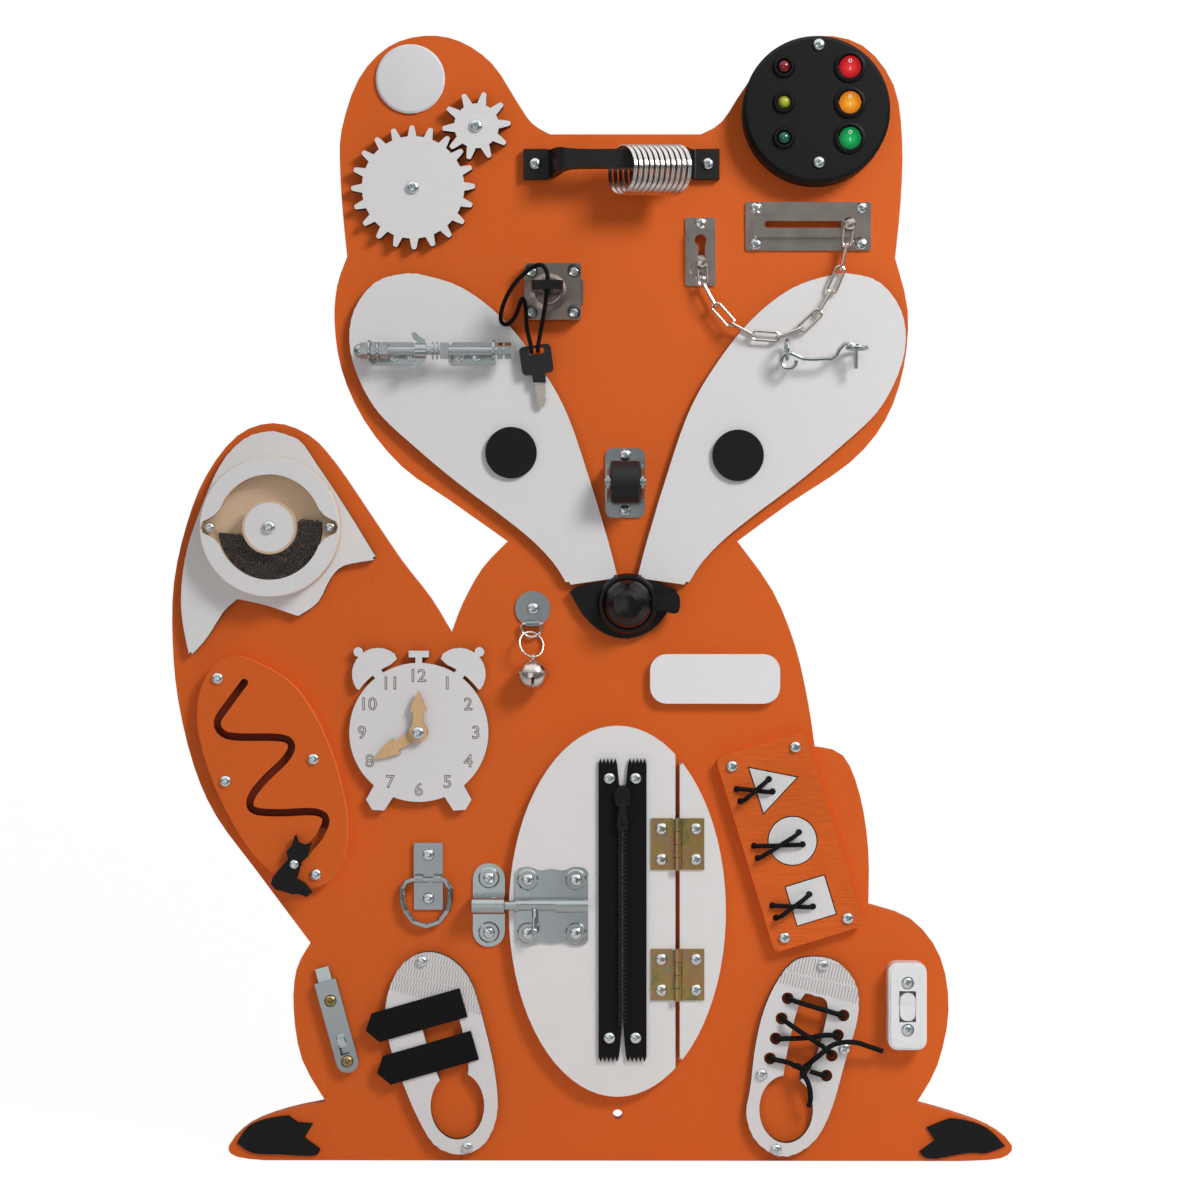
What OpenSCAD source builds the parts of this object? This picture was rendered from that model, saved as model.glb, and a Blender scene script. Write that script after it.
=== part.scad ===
// Fox-shaped wooden busy board: gears, locks, latches, laces and lamps on a painted plywood board.
// The board hangs by the hole near its lower edge. Front views are drawn in X and Z; every lift is
// measured forward from the board's front face.

/* [Board] */
// Thickness of the plywood board
board_t = 12; // [9:0.5:18]
// Radius of the wall fixing hole at the origin
wall_hole_r = 3.6; // [2.5:0.1:4.5]
// Thickness of the cheek, tail, shoe and nose panels
panel_t = 6; // [4:0.5:8]
// Radius of each eye disc
eye_r = 18.2; // [12:0.1:22]
// Thickness of the eye and paw patches and of the badge
patch_t = 3; // [1.5:0.5:4]
// Radius of the round badge
badge_r = 24.6; // [18:0.1:26]
// Size of the name plate
name_plate = [92, 35]; // [25:1:110]

/* [Screws] */
// Radius of a pan head
head_r = 4.2; // [3.2:0.1:4.4]
// Height of a pan head
head_h = 2.6; // [1.6:0.1:3]
// Radius of a screw's shank
shank_r = 1.75; // [1.2:0.05:2]
// Depth that each screw goes into the board
bite = 9; // [5:0.5:9]

/* [Gears] */
// Teeth on the large gear
large_teeth = 20; // [16:2:22]
// Teeth on the small gear
small_teeth = 10; // [8:1:11]
// Radius of the large gear's pitch circle
large_pitch_r = 41.6; // [36:0.1:42]
// Thickness of both gears
gear_t = 8; // [4:0.5:10]
// Radius of the pivot screws' shanks
pivot_r = 2.4; // [1.8:0.1:2.6]
// Radial clearance of a running fit
run_fit = 0.08; // [0.03:0.01:0.1]

/* [Pull handle] */
// Distance between the handle's screws
handle_pitch = 122.4; // [110:0.1:130]
// Height of the bar above the board
handle_rise = 30; // [26:0.5:36]
// Outside diameter of a split ring
key_ring_d = 35.5; // [32:0.5:37]
// Number of split rings on the bar
key_ring_count = 11; // [3:1:12]

/* [Light box] */
// Radius of the round housing
light_box_r = 51.8; // [48:0.1:54]
// Height of the housing
light_box_h = 20; // [16:0.5:26]
// Radius of a round rocker
rocker_r = 7.6; // [6.5:0.1:8]
// Radius of a lamp lens
lens_r = 4.8; // [3.5:0.1:5.2]
// Distance between the rows of lamps and switches
lamp_row = 25; // [24:0.1:27]

/* [Door chain] */
// Height of the pressed channel
channel_h = 6.5; // [5.5:0.1:9]
// Length of the track plate
track_l = 89; // [84:0.5:96]
// Wire radius of a chain link
link_wire_r = 1.05; // [0.8:0.05:1.2]
// Outside length of a chain link
link_l = 22; // [21.9:0.1:22.4]
// Outside width of a chain link
link_w = 8.5; // [8:0.1:9]

/* [Drawer lock] */
// Width of the square lock case
lock_w = 40; // [38:0.5:44]
// Height of the lock case
lock_h = 12; // [10:0.5:16]
// Radius of the barrel
barrel_r = 9.8; // [8:0.1:10.5]
// Length of the barrel in front of the case
barrel_l = 12; // [8:0.5:16]

/* [Bolt and nuts] */
// Radius of the threaded bolt
rod_r = 3; // [2.5:0.1:3.2]
// Height of the bolt's axis above the cheek panel
rod_rise = 17.7; // [17.6:0.1:20]
// Width across the flats of a hex nut
nut_af = 10; // [9:0.1:10.4]

/* [Gate hook] */
// Wire radius of the hook and of its eyes
hook_wire_r = 1.4; // [1:0.1:1.6]

/* [Roller] */
// Radius of the roller wheel
roller_r = 14.85; // [12:0.05:16]
// Width of the roller wheel
roller_w = 20.6; // [16:0.1:22]

/* [Bicycle bell] */
// Radius of the bell's base
bell_base_r = 21.6; // [20:0.1:24]
// Radius of the dome
bell_dome_r = 17.3; // [15:0.1:18.5]
// Wall of the dome
bell_wall = 1.2; // [0.8:0.1:1.6]

/* [Seed drum] */
// Outside radius of the drum
drum_r = 49.3; // [47:0.1:51]
// Radius of the drum's window
drum_window_r = 37; // [34:0.1:38]
// Thickness of the drum
drum_t = 15; // [12:0.5:20]

/* [Clock] */
// Radius of the clock face
clock_r = 49.2; // [46:0.1:52]
// Length of the hour hand
hour_l = 29.6; // [22:0.1:34]
// Length of the minute hand
minute_l = 34.7; // [30:0.1:42]
// Thickness of a hand
hand_t = 2.4; // [1.5:0.1:3]

/* [Maze] */
// Thickness of the grooved plate
maze_t = 9; // [8:0.5:12]
// Width of the groove
groove_w = 5.5; // [5.2:0.1:6]

/* [Belly] */
// Width of the belly
belly_w = 153.4; // [148:0.1:158]
// Height of the belly
belly_l = 262.2; // [255:0.1:270]
// Thickness of the belly
belly_t = 8; // [6:0.5:9]
// Gap between the door and the fixed part
door_gap = 3.1; // [2:0.1:3.6]
// Place of that gap across the belly
door_gap_x = 42.35; // [41:0.05:44]
// Height of a butt hinge
butt_l = 36.3; // [30:0.1:42]
// Radius of the slide bolt
slide_bolt_r = 3.6; // [3:0.1:4]
// Width of the zipper's two tapes together
zip_w = 33.9; // [30:0.1:38]

/* [Lashing ring] */
// Wire radius of the lashing ring
lash_wire_r = 2.1; // [1.6:0.1:2.4]

/* [Lacing plate] */
// Size of the lacing plate
lacing_size = [66, 143.4]; // [60:0.1:146]
// Lean of the lacing plate
lacing_lean = 17; // [12:0.5:20]
// Thickness of the lacing plate and its shapes
lacing_t = 8; // [6:0.5:10]
// Gap round each shape
insert_gap = 0.8; // [0.5:0.1:1.2]

/* [Shoes] */
// Width of a webbing strap
strap_w = 21; // [16:0.5:23]
// Length of a webbing strap
strap_l = 72; // [66:0.5:76]
// Radius of a lace hole
lace_hole_r = 4.2; // [3.4:0.1:4.6]

/* [Flush bolt and switch] */
// Width of the flush bolt's case
flush_w = 15.6; // [14:0.1:18]
// Size of the light switch's case
switch_size = [27.3, 61.7]; // [25:0.1:66]
// Height of the light switch's case
switch_h = 14; // [11:0.5:18]

/* [Hidden] */
$fn = 48;

fit = 0.1;          // clearance of a piece that seats in a hole
soft_gap = 0.3;     // gap between a moving piece and what it passes
sheet_t = 1.5;      // sheet steel of the plates and brackets
hole_r = shank_r + 0.35;
orange = "#C85A26";
white = "#E2E0DF";
black = "#1B1B1C";
zinc = "#A9B2B4";
nickel = "#B8ADA0";
ply = "#D8AE7C";

// ---- outlines -----------------------------------------------------------------------------------------

// A point on the smooth curve from b to c, with a before and d after them.
function bend(a, b, c, d, t) =
  0.5 * (2 * b + (c - a) * t + (2 * a - 5 * b + 4 * c - d) * t * t + (3 * b - a - 3 * c + d) * t * t * t);

// A smooth run through the points, without its last one.
function run(p, n = 3) = [for (i = [0:len(p) - 2]) for (k = [0:n - 1])
  bend(p[max(i - 1, 0)], p[i], p[i + 1], p[min(i + 2, len(p) - 1)], k / n)];

// A smooth closed loop through the points.
function loop(p, n = 3) = [for (i = [0:len(p) - 1]) for (k = [0:n - 1])
  bend(p[(i + len(p) - 1) % len(p)], p[i], p[(i + 1) % len(p)], p[(i + 2) % len(p)], k / n)];

function arc(c, r, from, to, n = 5) =
  [for (i = [0:n]) c + r * [cos(from + (to - from) * i / n), sin(from + (to - from) * i / n)]];

function rounded(w, h, r) = concat(
  arc([w / 2 - r, h / 2 - r], r, 0, 90), arc([r - w / 2, h / 2 - r], r, 90, 180),
  arc([r - w / 2, r - h / 2], r, 180, 270), arc([w / 2 - r, r - h / 2], r, 270, 360));

function ellipse(w, h, n = 72) = [for (i = [0:n - 1]) [w / 2 * cos(360 * i / n), h / 2 * sin(360 * i / n)]];

function unit(v) = v / norm(v);
function last(p) = p[len(p) - 1];
function turn(p, a) = [p[0] * cos(a) - p[1] * sin(a), p[0] * sin(a) + p[1] * cos(a)];

// The outline of a band of width w along an open path.
function band(p, w) = let (
  d = [for (i = [0:len(p) - 1]) unit(p[min(i + 1, len(p) - 1)] - p[max(i - 1, 0)])],
  s = [for (v = d) [-v[1], v[0]] * w / 2])
  concat([for (i = [0:len(p) - 1]) p[i] + s[i]], [for (i = [len(p) - 1:-1:0]) p[i] - s[i]]);

// A place in front of the board: x, z and lift.
function at(x, z, lift) = [x, -board_t - lift, z];
function flat(p, lift) = [for (q = p) at(q[0], q[1], lift)];

// ---- building blocks ----------------------------------------------------------------------------------

// A front-view outline, as a plate from lift to lift + h.
module layer(lift, h) {
  translate([0, -board_t - lift, 0]) rotate([90, 0, 0]) linear_extrude(h) children();
}

// A profile of radius and lift, turned about an axis that points forward.
module turned(x, z, lift) {
  translate(at(x, z, lift)) rotate([90, 0, 0]) rotate_extrude() children();
}

module rod_y(x, z, lift, h, r) {
  layer(lift, h) translate([x, z]) circle(r);
}

// A cylinder along X.
module rod_x(from, to, z, lift, r) {
  translate(at(from, z, lift)) rotate([0, 90, 0]) cylinder(h = to - from, r = r);
}

// A cylinder along Z.
module rod_z(x, from, to, lift, r) {
  translate(at(x, from, lift)) cylinder(h = to - from, r = r);
}

// An outline of z and lift, extruded along X.
module side(from, to) {
  translate([from, -board_t, 0]) rotate([0, -90, 180]) linear_extrude(to - from) children();
}

module block(x, z, lift, size) {
  translate(at(x - size[0] / 2, z - size[1] / 2, lift + size[2])) cube([size[0], size[2], size[1]]);
}

// Rings of points round a path, joined to one closed tube. The path is closed when normal is given.
module wire(path, r, normal = undef, sides = 8) {
  n = len(path);
  closed = !is_undef(normal);
  t = [for (i = [0:n - 1]) closed
    ? unit(path[(i + 1) % n] - path[(i + n - 1) % n])
    : unit(path[min(i + 1, n - 1)] - path[max(i - 1, 0)])];
  first = unit(cross(t[0], abs(t[0][1]) < 0.8 ? [0, 1, 0] : [1, 0, 0]));
  s = closed
    ? [for (i = [0:n - 1]) normal]
    : [for (i = 0, v = first; i < n; i = i + 1, v = i < n ? unit(v - (v * t[i]) * t[i]) : v) v];
  points = [for (i = [0:n - 1]) for (k = [0:sides - 1])
    path[i] + r * (cos(360 * k / sides) * s[i] + sin(360 * k / sides) * cross(t[i], s[i]))];
  spans = closed ? n : n - 1;
  skin = [for (i = [0:spans - 1]) for (k = [0:sides - 1]) let (
    a = i * sides, b = ((i + 1) % n) * sides, m = (k + 1) % sides)
    each [[a + k, b + k, b + m], [a + k, b + m, a + m]]];
  ends = closed ? [] : [[for (k = [0:sides - 1]) k], [for (k = [sides - 1:-1:0]) (n - 1) * sides + k]];
  polyhedron(points = points, faces = concat(skin, ends), convexity = 6);
}

// A pan-head screw that clamps at the given lift.
module screw(x, z, lift, r = shank_r, h = head_r) {
  turned(x, z, lift)
    polygon([[0, -lift - bite], [r * 0.4, -lift - bite], [r, -lift - bite + r], [r, 0], [h, 0],
      [h, head_h * 0.3], [h * 0.86, head_h * 0.66], [h * 0.55, head_h * 0.92], [0, head_h]]);
}

module drill(places, r = hole_r) {
  for (p = places)
    translate([p[0], p[1]]) circle(r);
}

// ---- board and panels ---------------------------------------------------------------------------------

outline = concat(
  run([[-48, 696], [-61, 704], [-72, 720], [-89, 746], [-112, 762], [-137, 766], [-163, 758], [-184, 735],
    [-196, 699], [-197, 671], [-195, 639], [-192, 609]]),
  run([[-192, 609], [-199, 589], [-201, 563], [-196, 529], [-180, 493], [-153, 460], [-119, 436], [-78,
    407]]),
  run([[-78, 407], [-96, 388], [-110, 363], [-118, 342]]),
  run([[-118, 342], [-133, 367], [-154, 394], [-179, 431], [-201, 463], [-220, 483], [-245, 491], [-270,
    482],
    [-292, 454], [-306, 419], [-315, 378], [-316, 337], [-312, 294], [-301, 248], [-285, 212], [-257, 174],
    [-218, 122]]),
  run([[-218, 122], [-228, 103], [-230, 74], [-224, 39], [-207, 9]]),
  run([[-207, 9], [-235, 3], [-261, -7], [-276, -22], [-270, -30], [-243, -33]]),
  run([[243, -33], [272, -31], [280, -22], [264, -9], [237, 1], [212, 8]]),
  run([[212, 8], [227, 35], [235, 74], [229, 112], [209, 138], [178, 149]]),
  run([[178, 149], [178, 188], [172, 227], [160, 255], [140, 261]]),
  run([[140, 261], [135, 294], [126, 333], [110, 372], [85, 407]]),
  run([[85, 407], [122, 434], [165, 463], [190, 493], [203, 530], [206, 571], [197, 608]]),
  run([[197, 608], [201, 649], [202, 692], [196, 731], [174, 759], [142, 766], [112, 756], [90, 729],
    [74, 705], [59, 696]]),
  [[59, 696]]);

left_cheek = concat(
  run([[-145, 597], [-169, 592], [-185, 574], [-190, 553], [-186, 529], [-171, 500], [-145, 475], [-114,
    449],
    [-86, 428], [-62, 409], [-44, 390], [-33, 371]]),
  run([[0, 381], [-7, 408], [-20, 451], [-37, 500], [-59, 537], [-84, 567], [-113, 588], [-145, 597]]));
right_cheek = [for (p = left_cheek) [14 - p[0], p[1]]];
tail_tip = concat(
  run([[-244, 485], [-226, 479], [-214, 463], [-194, 433], [-170, 394]]),
  run([[-170, 394], [-193, 390], [-203, 381], [-212, 364], [-226, 354]]),
  run([[-226, 354], [-250, 362], [-269, 366]]),
  run([[-269, 366], [-279, 357], [-291, 338], [-303, 325]]),
  run([[-303, 325], [-309, 359], [-306, 396], [-295, 430], [-280, 463], [-262, 481], [-244, 485]]));
nose = concat(
  run([[-34, 371], [-28, 375], [-12, 378], [5, 380], [27, 378], [42, 372]]),
  run([[42, 372], [36, 358], [24, 344], [7, 338], [-10, 342], [-24, 354], [-34, 371]]));
left_paw = concat(
  run([[-270, -20], [-262, -8], [-246, -2], [-229, 0]]),
  [[-227, -5], [-216, -6], [-222, -16], [-211, -24]],
  run([[-211, -24], [-213, -28], [-221, -29], [-240, -28], [-259, -27], [-270, -20]]));
right_paw = concat(
  run([[275, -22], [263, -10], [248, -4], [232, -2]]),
  [[231, -4], [219, -9], [225, -18], [214, -26]],
  run([[214, -26], [218, -30], [226, -31], [248, -27], [262, -27], [275, -22]]));
eyes = [[-75.4, 469.5], [85.1, 467.6]];
badge_at = [-147, 735];
name_at = [69, 309.5];

handle_x = 2.7;
handle_z = 674;
handle_screws = [[handle_x - handle_pitch / 2, handle_z, 6], [handle_x + handle_pitch / 2, handle_z, 6]];
gear_axes = [[-144.6, 657], [-99.8, 700.5]];
gear_lift = 0.5;
light_at = [139.8, 710.2];
light_screws = [[light_at[0] + 1.5, light_at[1] + 45, light_box_h], [light_at[0] + 1.5,
  light_at[1] - 37.5, light_box_h]];
keeper_at = [58.7, 612.5];
keeper_size = [21.3, 48.5];
keeper_screws = [for (s = [-1, 1]) [keeper_at[0], keeper_at[1] + s * 20, sheet_t]];
track_at = [135.3, 630.5];
track_size = [track_l, 34.6];
track_screws = [for (s = [-1, 1], t = [-1, 1]) [track_at[0] + s * (track_l / 2 - 7.2),
  track_at[1] + t * 12.9, sheet_t]];
lock_at = [-45.8, 583.1];
barrel_at = [-48.9, 582.6];
lock_screws = [for (s = [-1, 1], t = [-1, 1]) [lock_at[0] + s * 15, lock_at[1] + t * 14.5, 7]];
rod_z0 = 540;
rod_lift = panel_t + rod_rise;
bracket_spans = [[-174.8, -142.8], [-86.2, -118.2]];
bracket_w = 15.5;
bracket_screws = [for (x = [-158, -146.2, -112.2, -99.8]) [x, rod_z0 - 2, panel_t + sheet_t]];
roller_at = [5.3, 448.4];
roller_plate = [28.2, 49.3];
roller_lift = roller_r + sheet_t + 1.2;
roller_screws = [for (s = [-1, 1]) [roller_at[0], roller_at[1] + s * 19.6, sheet_t]];
drum_at = [-244.6, 416.5];
drum_lift = panel_t + 0.6;
clock_at = [-140.7, 271.7];
maze_screws = [[-282.6, 310, maze_t], [-215, 253, maze_t], [-277, 237.4, maze_t], [-213.2, 171.5, maze_t]];
jingle_at = [-60.2, 359.3];
lash_at = [-134.2, 169.5];
lash_screws = [[lash_at[0], lash_at[1] + 15.2, sheet_t * 2], [lash_at[0], lash_at[1] - 15.9, sheet_t]];
belly_at = [-0.2, 145.3];
bolt_z = 150;
bolt_lift = belly_t + 5.5;
bolt_keeper_at = [-91.3, bolt_z - 1];
bolt_keeper_size = [22.7, 59.3];
bolt_keeper_screws = [for (s = [-1, 1]) [bolt_keeper_at[0], bolt_keeper_at[1] + s * 19.3, sheet_t + 1]];
bolt_case_x = [-72.2, -20.9];
bolt_case_screws = [for (x = [-63.6, -29.6], s = [-1, 1]) [x, bolt_z - 1 + s * 18.8, belly_t + sheet_t + 1]];
butt_z = [193, 100.7];
butt_screws = [for (z = butt_z, s = [-1, 1], x = [55.2, 30.8]) [x, z + s * 10.8, belly_t + 1.3]];
zip_x = 3.4;
zip_z = [39.1, 253.8];
zip_lift = belly_t + 1.7;
zip_tape_t = 0.9;
zip_screws = [for (s = [-1, 1], z = [56.4, 239.5]) [zip_x + s * 9.2, z, zip_lift + zip_tape_t]];
lacing_at = [121.8, 194.1];
lacing_screws = [for (s = [-1, 1], t = [-1, 1])
  let (p = lacing_at + turn([s * 23.3, t * 63.3], lacing_lean)) [p[0], p[1], lacing_t]];
strap_shoe_screws = [[-138.4, 109.6, panel_t], [-106.4, -21.8, panel_t]];
lace_shoe_screws = [[145.1, 106.7, panel_t], [160.4, 47.8, panel_t], [101.9, 29.5, panel_t], [112.2,
  -23.4, panel_t]];
flush_at = [-198.2, 63.3];
flush_lean = 15.5;
flush_seat = 4.6;
flush_screw_y = [19, -25.4];
flush_screws = [for (y = flush_screw_y) let (p = flush_at + turn([0, y], flush_lean)) [p[0], p[1],
  flush_seat]];
switch_at = [204.3, 78.8];
switch_screws = [for (s = [-1, 1]) [switch_at[0], switch_at[1] + s * 16.6, switch_h - 3]];

fixed_screws = concat(handle_screws, light_screws, keeper_screws, track_screws, lock_screws, bracket_screws,
  roller_screws, maze_screws, [[jingle_at[0], jingle_at[1], sheet_t * 2]], lash_screws, bolt_keeper_screws,
  [for (p = butt_screws) if (p[0] > door_gap_x) p], lacing_screws, strap_shoe_screws, lace_shoe_screws,
  flush_screws, switch_screws);
drum_front = drum_lift + drum_t;
hour_lift = panel_t + 0.4 + hand_t + 0.3;
pivot_screws = [for (p = gear_axes) [p[0], p[1], gear_lift + gear_t + soft_gap],
  [drum_at[0], drum_at[1], drum_front + soft_gap], [clock_at[0], clock_at[1],
    hour_lift + hand_t + soft_gap]];

module board() {
  color(orange) {
    difference() {
      translate([0, 0, 0]) rotate([90, 0, 0]) linear_extrude(board_t) difference() {
        polygon(outline);
        circle(wall_hole_r);
      }
      for (p = fixed_screws)
        rod_y(p[0], p[1], -bite - 0.5, bite + 1, shank_r + fit);
      for (p = pivot_screws)
        rod_y(p[0], p[1], -bite - 0.5, bite + 1, pivot_r + fit);
      for (x = [119.1, 169.3])
        rod_y(x, x < 150 ? 544 : 545, -bite - 0.5, bite + 1, hook_wire_r + fit);
    }
  }
}

module shoe_holes(p) {
  translate(p) polygon(ellipse(38, 48, 40));
}

strap_shoe = loop([[-137, 116], [-154, 106], [-164, 81], [-162, 53], [-151, 21], [-140, -4], [-128, -22],
  [-109, -27],
  [-93, -18], [-85, 3], [-87, 32], [-94, 63], [-104, 96], [-119, 112]]);
strap_tongue = [[-140, 70], [-134, 81], [-124, 84], [-115, 78], [-105, 36], [-113, 24], [-126, 26]];
lace_shoe = loop([[138, 113], [121, 107], [106, 82], [98, 53], [94, 21], [91, 1], [98, -18], [117, -29],
  [138, -19],
  [151, 4], [161, 39], [170, 70], [169, 93], [156, 109]]);
lace_tongue = [[129, 82], [140, 85], [148, 81], [147, 66], [138, 36], [126, 24], [117, 27]];
lace_left = [[120.3, 83.5], [116, 69.3], [111.8, 55.1], [107.8, 41]];
lace_right = [[159.8, 71.4], [155.8, 57.5], [151.5, 43], [147.7, 28.8]];

module belly_outline() {
  translate(belly_at) polygon(ellipse(belly_w, belly_l));
}

module white_panels() {
  color(white) {
    layer(0, panel_t) difference() {
      polygon(left_cheek);
      drill(bracket_screws);
    }
    layer(0, panel_t) difference() {
      polygon(right_cheek);
      for (x = [119.1, 169.3])
        translate([x, x < 150 ? 544 : 545]) circle(hook_wire_r + fit);
    }
    layer(0, panel_t) difference() {
      polygon(tail_tip);
      translate(drum_at) circle(pivot_r + fit);
    }
    layer(0, panel_t) difference() {
      polygon(strap_shoe);
      polygon(loop(strap_tongue));
      shoe_holes([-113.4, 7.5]);
      drill(strap_shoe_screws);
    }
    layer(0, panel_t) difference() {
      polygon(lace_shoe);
      polygon(loop(lace_tongue));
      shoe_holes([119.2, 5]);
      drill(lace_shoe_screws);
      drill(concat(lace_left, lace_right), lace_hole_r);
    }
    layer(0, belly_t) difference() {
      intersection() {
        belly_outline();
        translate([door_gap_x + door_gap / 2, 0]) square([belly_w, belly_l + 60]);
      }
      drill([for (p = butt_screws) if (p[0] > door_gap_x) p]);
    }
    turned(badge_at[0], badge_at[1], 0)
      polygon([[0, 0], [badge_r - 1, 0], [badge_r, 0.8], [badge_r, 1.8], [badge_r - 1.4, 2.8],
        [badge_r * 0.6, patch_t + 0.4], [0, patch_t + 0.6]]);
    layer(0, panel_t) translate(name_at) polygon(rounded(name_plate[0], name_plate[1], 11.6));
  }
}

module black_panels() {
  color(black) {
    for (p = eyes)
      rod_y(p[0], p[1], panel_t, patch_t, eye_r);
    layer(0, panel_t) difference() {
      polygon(nose);
      polygon(left_cheek);
      polygon(right_cheek);
    }
    layer(0, patch_t / 2) polygon(left_paw);
    layer(0, patch_t / 2) polygon(right_paw);
  }
}

module board_screws() {
  color(zinc) {
    for (p = fixed_screws)
      screw(p[0], p[1], p[2]);
    for (p = pivot_screws)
      screw(p[0], p[1], p[2], pivot_r, head_r + 0.4);
  }
}

// ---- gears --------------------------------------------------------------------------------------------

small_pitch_r = large_pitch_r * small_teeth / large_teeth;
tooth_pitch = 2 * PI * large_pitch_r / large_teeth;
tooth_root_w = tooth_pitch * 0.5;
tooth_tip_w = tooth_pitch * 0.25;
addendum = 2.1;
small_addendum = 3.3;
small_dedendum = 5;
large_dedendum = 5.4;
large_phase = -1;
gear_axis = gear_axes[0];
// The small gear stands where the pitch circles touch, on the line from the large gear to its screw.
mesh_line = atan2(gear_axes[1][0] - gear_axis[0], gear_axes[1][1] - gear_axis[1]);
large_gap = large_phase + (floor((mesh_line - large_phase) * large_teeth / 360) + 0.5) * 360 / large_teeth;
small_phase = mesh_line + 180 + (mesh_line - large_gap) * large_teeth / small_teeth;

module gear_outline(teeth, root_r, tip_r, phase) {
  curve = [0, 0.3, 0.6, 0.85, 1];
  flank = [for (s = curve) [tooth_root_w / 2 + (tooth_tip_w - tooth_root_w) / 2 * pow(s, 1.3),
    root_r - 1.5 + (tip_r - 0.7 - root_r + 1.5) * s]];
  tip = [[tooth_tip_w / 2 - 0.6, tip_r], [0.6 - tooth_tip_w / 2, tip_r]];
  tooth = concat(flank, tip, [for (i = [len(flank) - 1:-1:0]) [-flank[i][0], flank[i][1]]]);
  difference() {
    union() {
      circle(root_r, $fn = 96);
      for (i = [0:teeth - 1])
        rotate(-phase - i * 360 / teeth) polygon(tooth);
    }
    circle(pivot_r + run_fit);
  }
}

module large_gear() {
  color(white)
    layer(gear_lift, gear_t) translate(gear_axis)
      gear_outline(large_teeth, large_pitch_r - large_dedendum, large_pitch_r + addendum, large_phase);
}

module small_gear() {
  color(white)
    layer(gear_lift, gear_t) translate(gear_axes[1])
      gear_outline(small_teeth, small_pitch_r - small_dedendum, small_pitch_r + small_addendum,
        small_phase);
}

// ---- pull handle --------------------------------------------------------------------------------------

bar_t = 8;
bar_w = 13;
pad_w = 21.3;
bar_half = 42;
handle_half = handle_pitch / 2 + 8.2;
ring_wire_r = 0.85;
ring_r = key_ring_d / 2 - ring_wire_r;
ring_tilt = 32;
ring_pitch = 3.75;
ring_first_x = 3.5;
bar_mid = handle_rise - bar_t / 2;
ring_reach = sqrt(pow(ring_r - ring_wire_r, 2) - pow(bar_t / 2 / cos(ring_tilt) + 0.6, 2));
ring_z = handle_z + bar_w / 2 - ring_reach + 0.8;

module pull_handle() {
  arch = concat([[-handle_half, 0], [-handle_half, 6]],
    run([[-53.5, 6], [-50.5, 8], [-46, 24], [-bar_half, handle_rise - 0.8], [-38, handle_rise]]),
    run([[38, handle_rise], [bar_half, handle_rise - 0.8], [46, 24], [50.5, 8], [53.5, 6]]),
    [[53.5, 6], [handle_half, 6], [handle_half, 0], [47, 0]],
    run([[47, 0], [44, 6], [40, 18], [36, handle_rise - bar_t - 0.6], [31, handle_rise - bar_t]]),
    run([[-31, handle_rise - bar_t], [-36, handle_rise - bar_t - 0.6], [-40, 18], [-44, 6], [-47, 0]]),
    [[-47, 0]]);
  half = concat(run([[0, bar_w / 2], [30, bar_w / 2], [44, bar_w / 2 + 1.6], [53, pad_w / 2]]),
    [[53, pad_w / 2], [handle_half, pad_w / 2]]);
  front = concat([for (p = half) [-p[0], p[1]]], [for (i = [len(half) - 1:-1:1]) [-half[i][0], -half[i][1]]],
    [for (p = half) [p[0], -p[1]]], [for (i = [len(half) - 1:-1:1]) half[i]]);
  color(black)
    difference() {
      intersection() {
        translate([handle_x, -board_t, handle_z - pad_w / 2]) mirror([0, 1, 0])
          linear_extrude(pad_w) polygon(arch);
        layer(0, handle_rise + 1) translate([handle_x, handle_z]) polygon(front);
      }
      for (p = handle_screws)
        rod_y(p[0], p[1], -1, 10, hole_r);
    }
}

module key_rings() {
  color(nickel)
    for (i = [0:key_ring_count - 1])
      translate(at(ring_first_x + i * ring_pitch, ring_z, bar_mid)) rotate([0, 0, ring_tilt])
        rotate([0, 90, 0]) rotate_extrude() for (s = [-1, 1])
          translate([ring_r, s * ring_wire_r * 0.8]) circle(ring_wire_r, $fn = 24);
}

// ---- light box ----------------------------------------------------------------------------------------

lamp_dx = 23.2;
lamp_rows = [for (i = [1, 0, -1]) light_at[1] + 4.5 + i * lamp_row];
bezel_bore = rocker_r + 0.7;
bezel_depth = 13;

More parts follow.
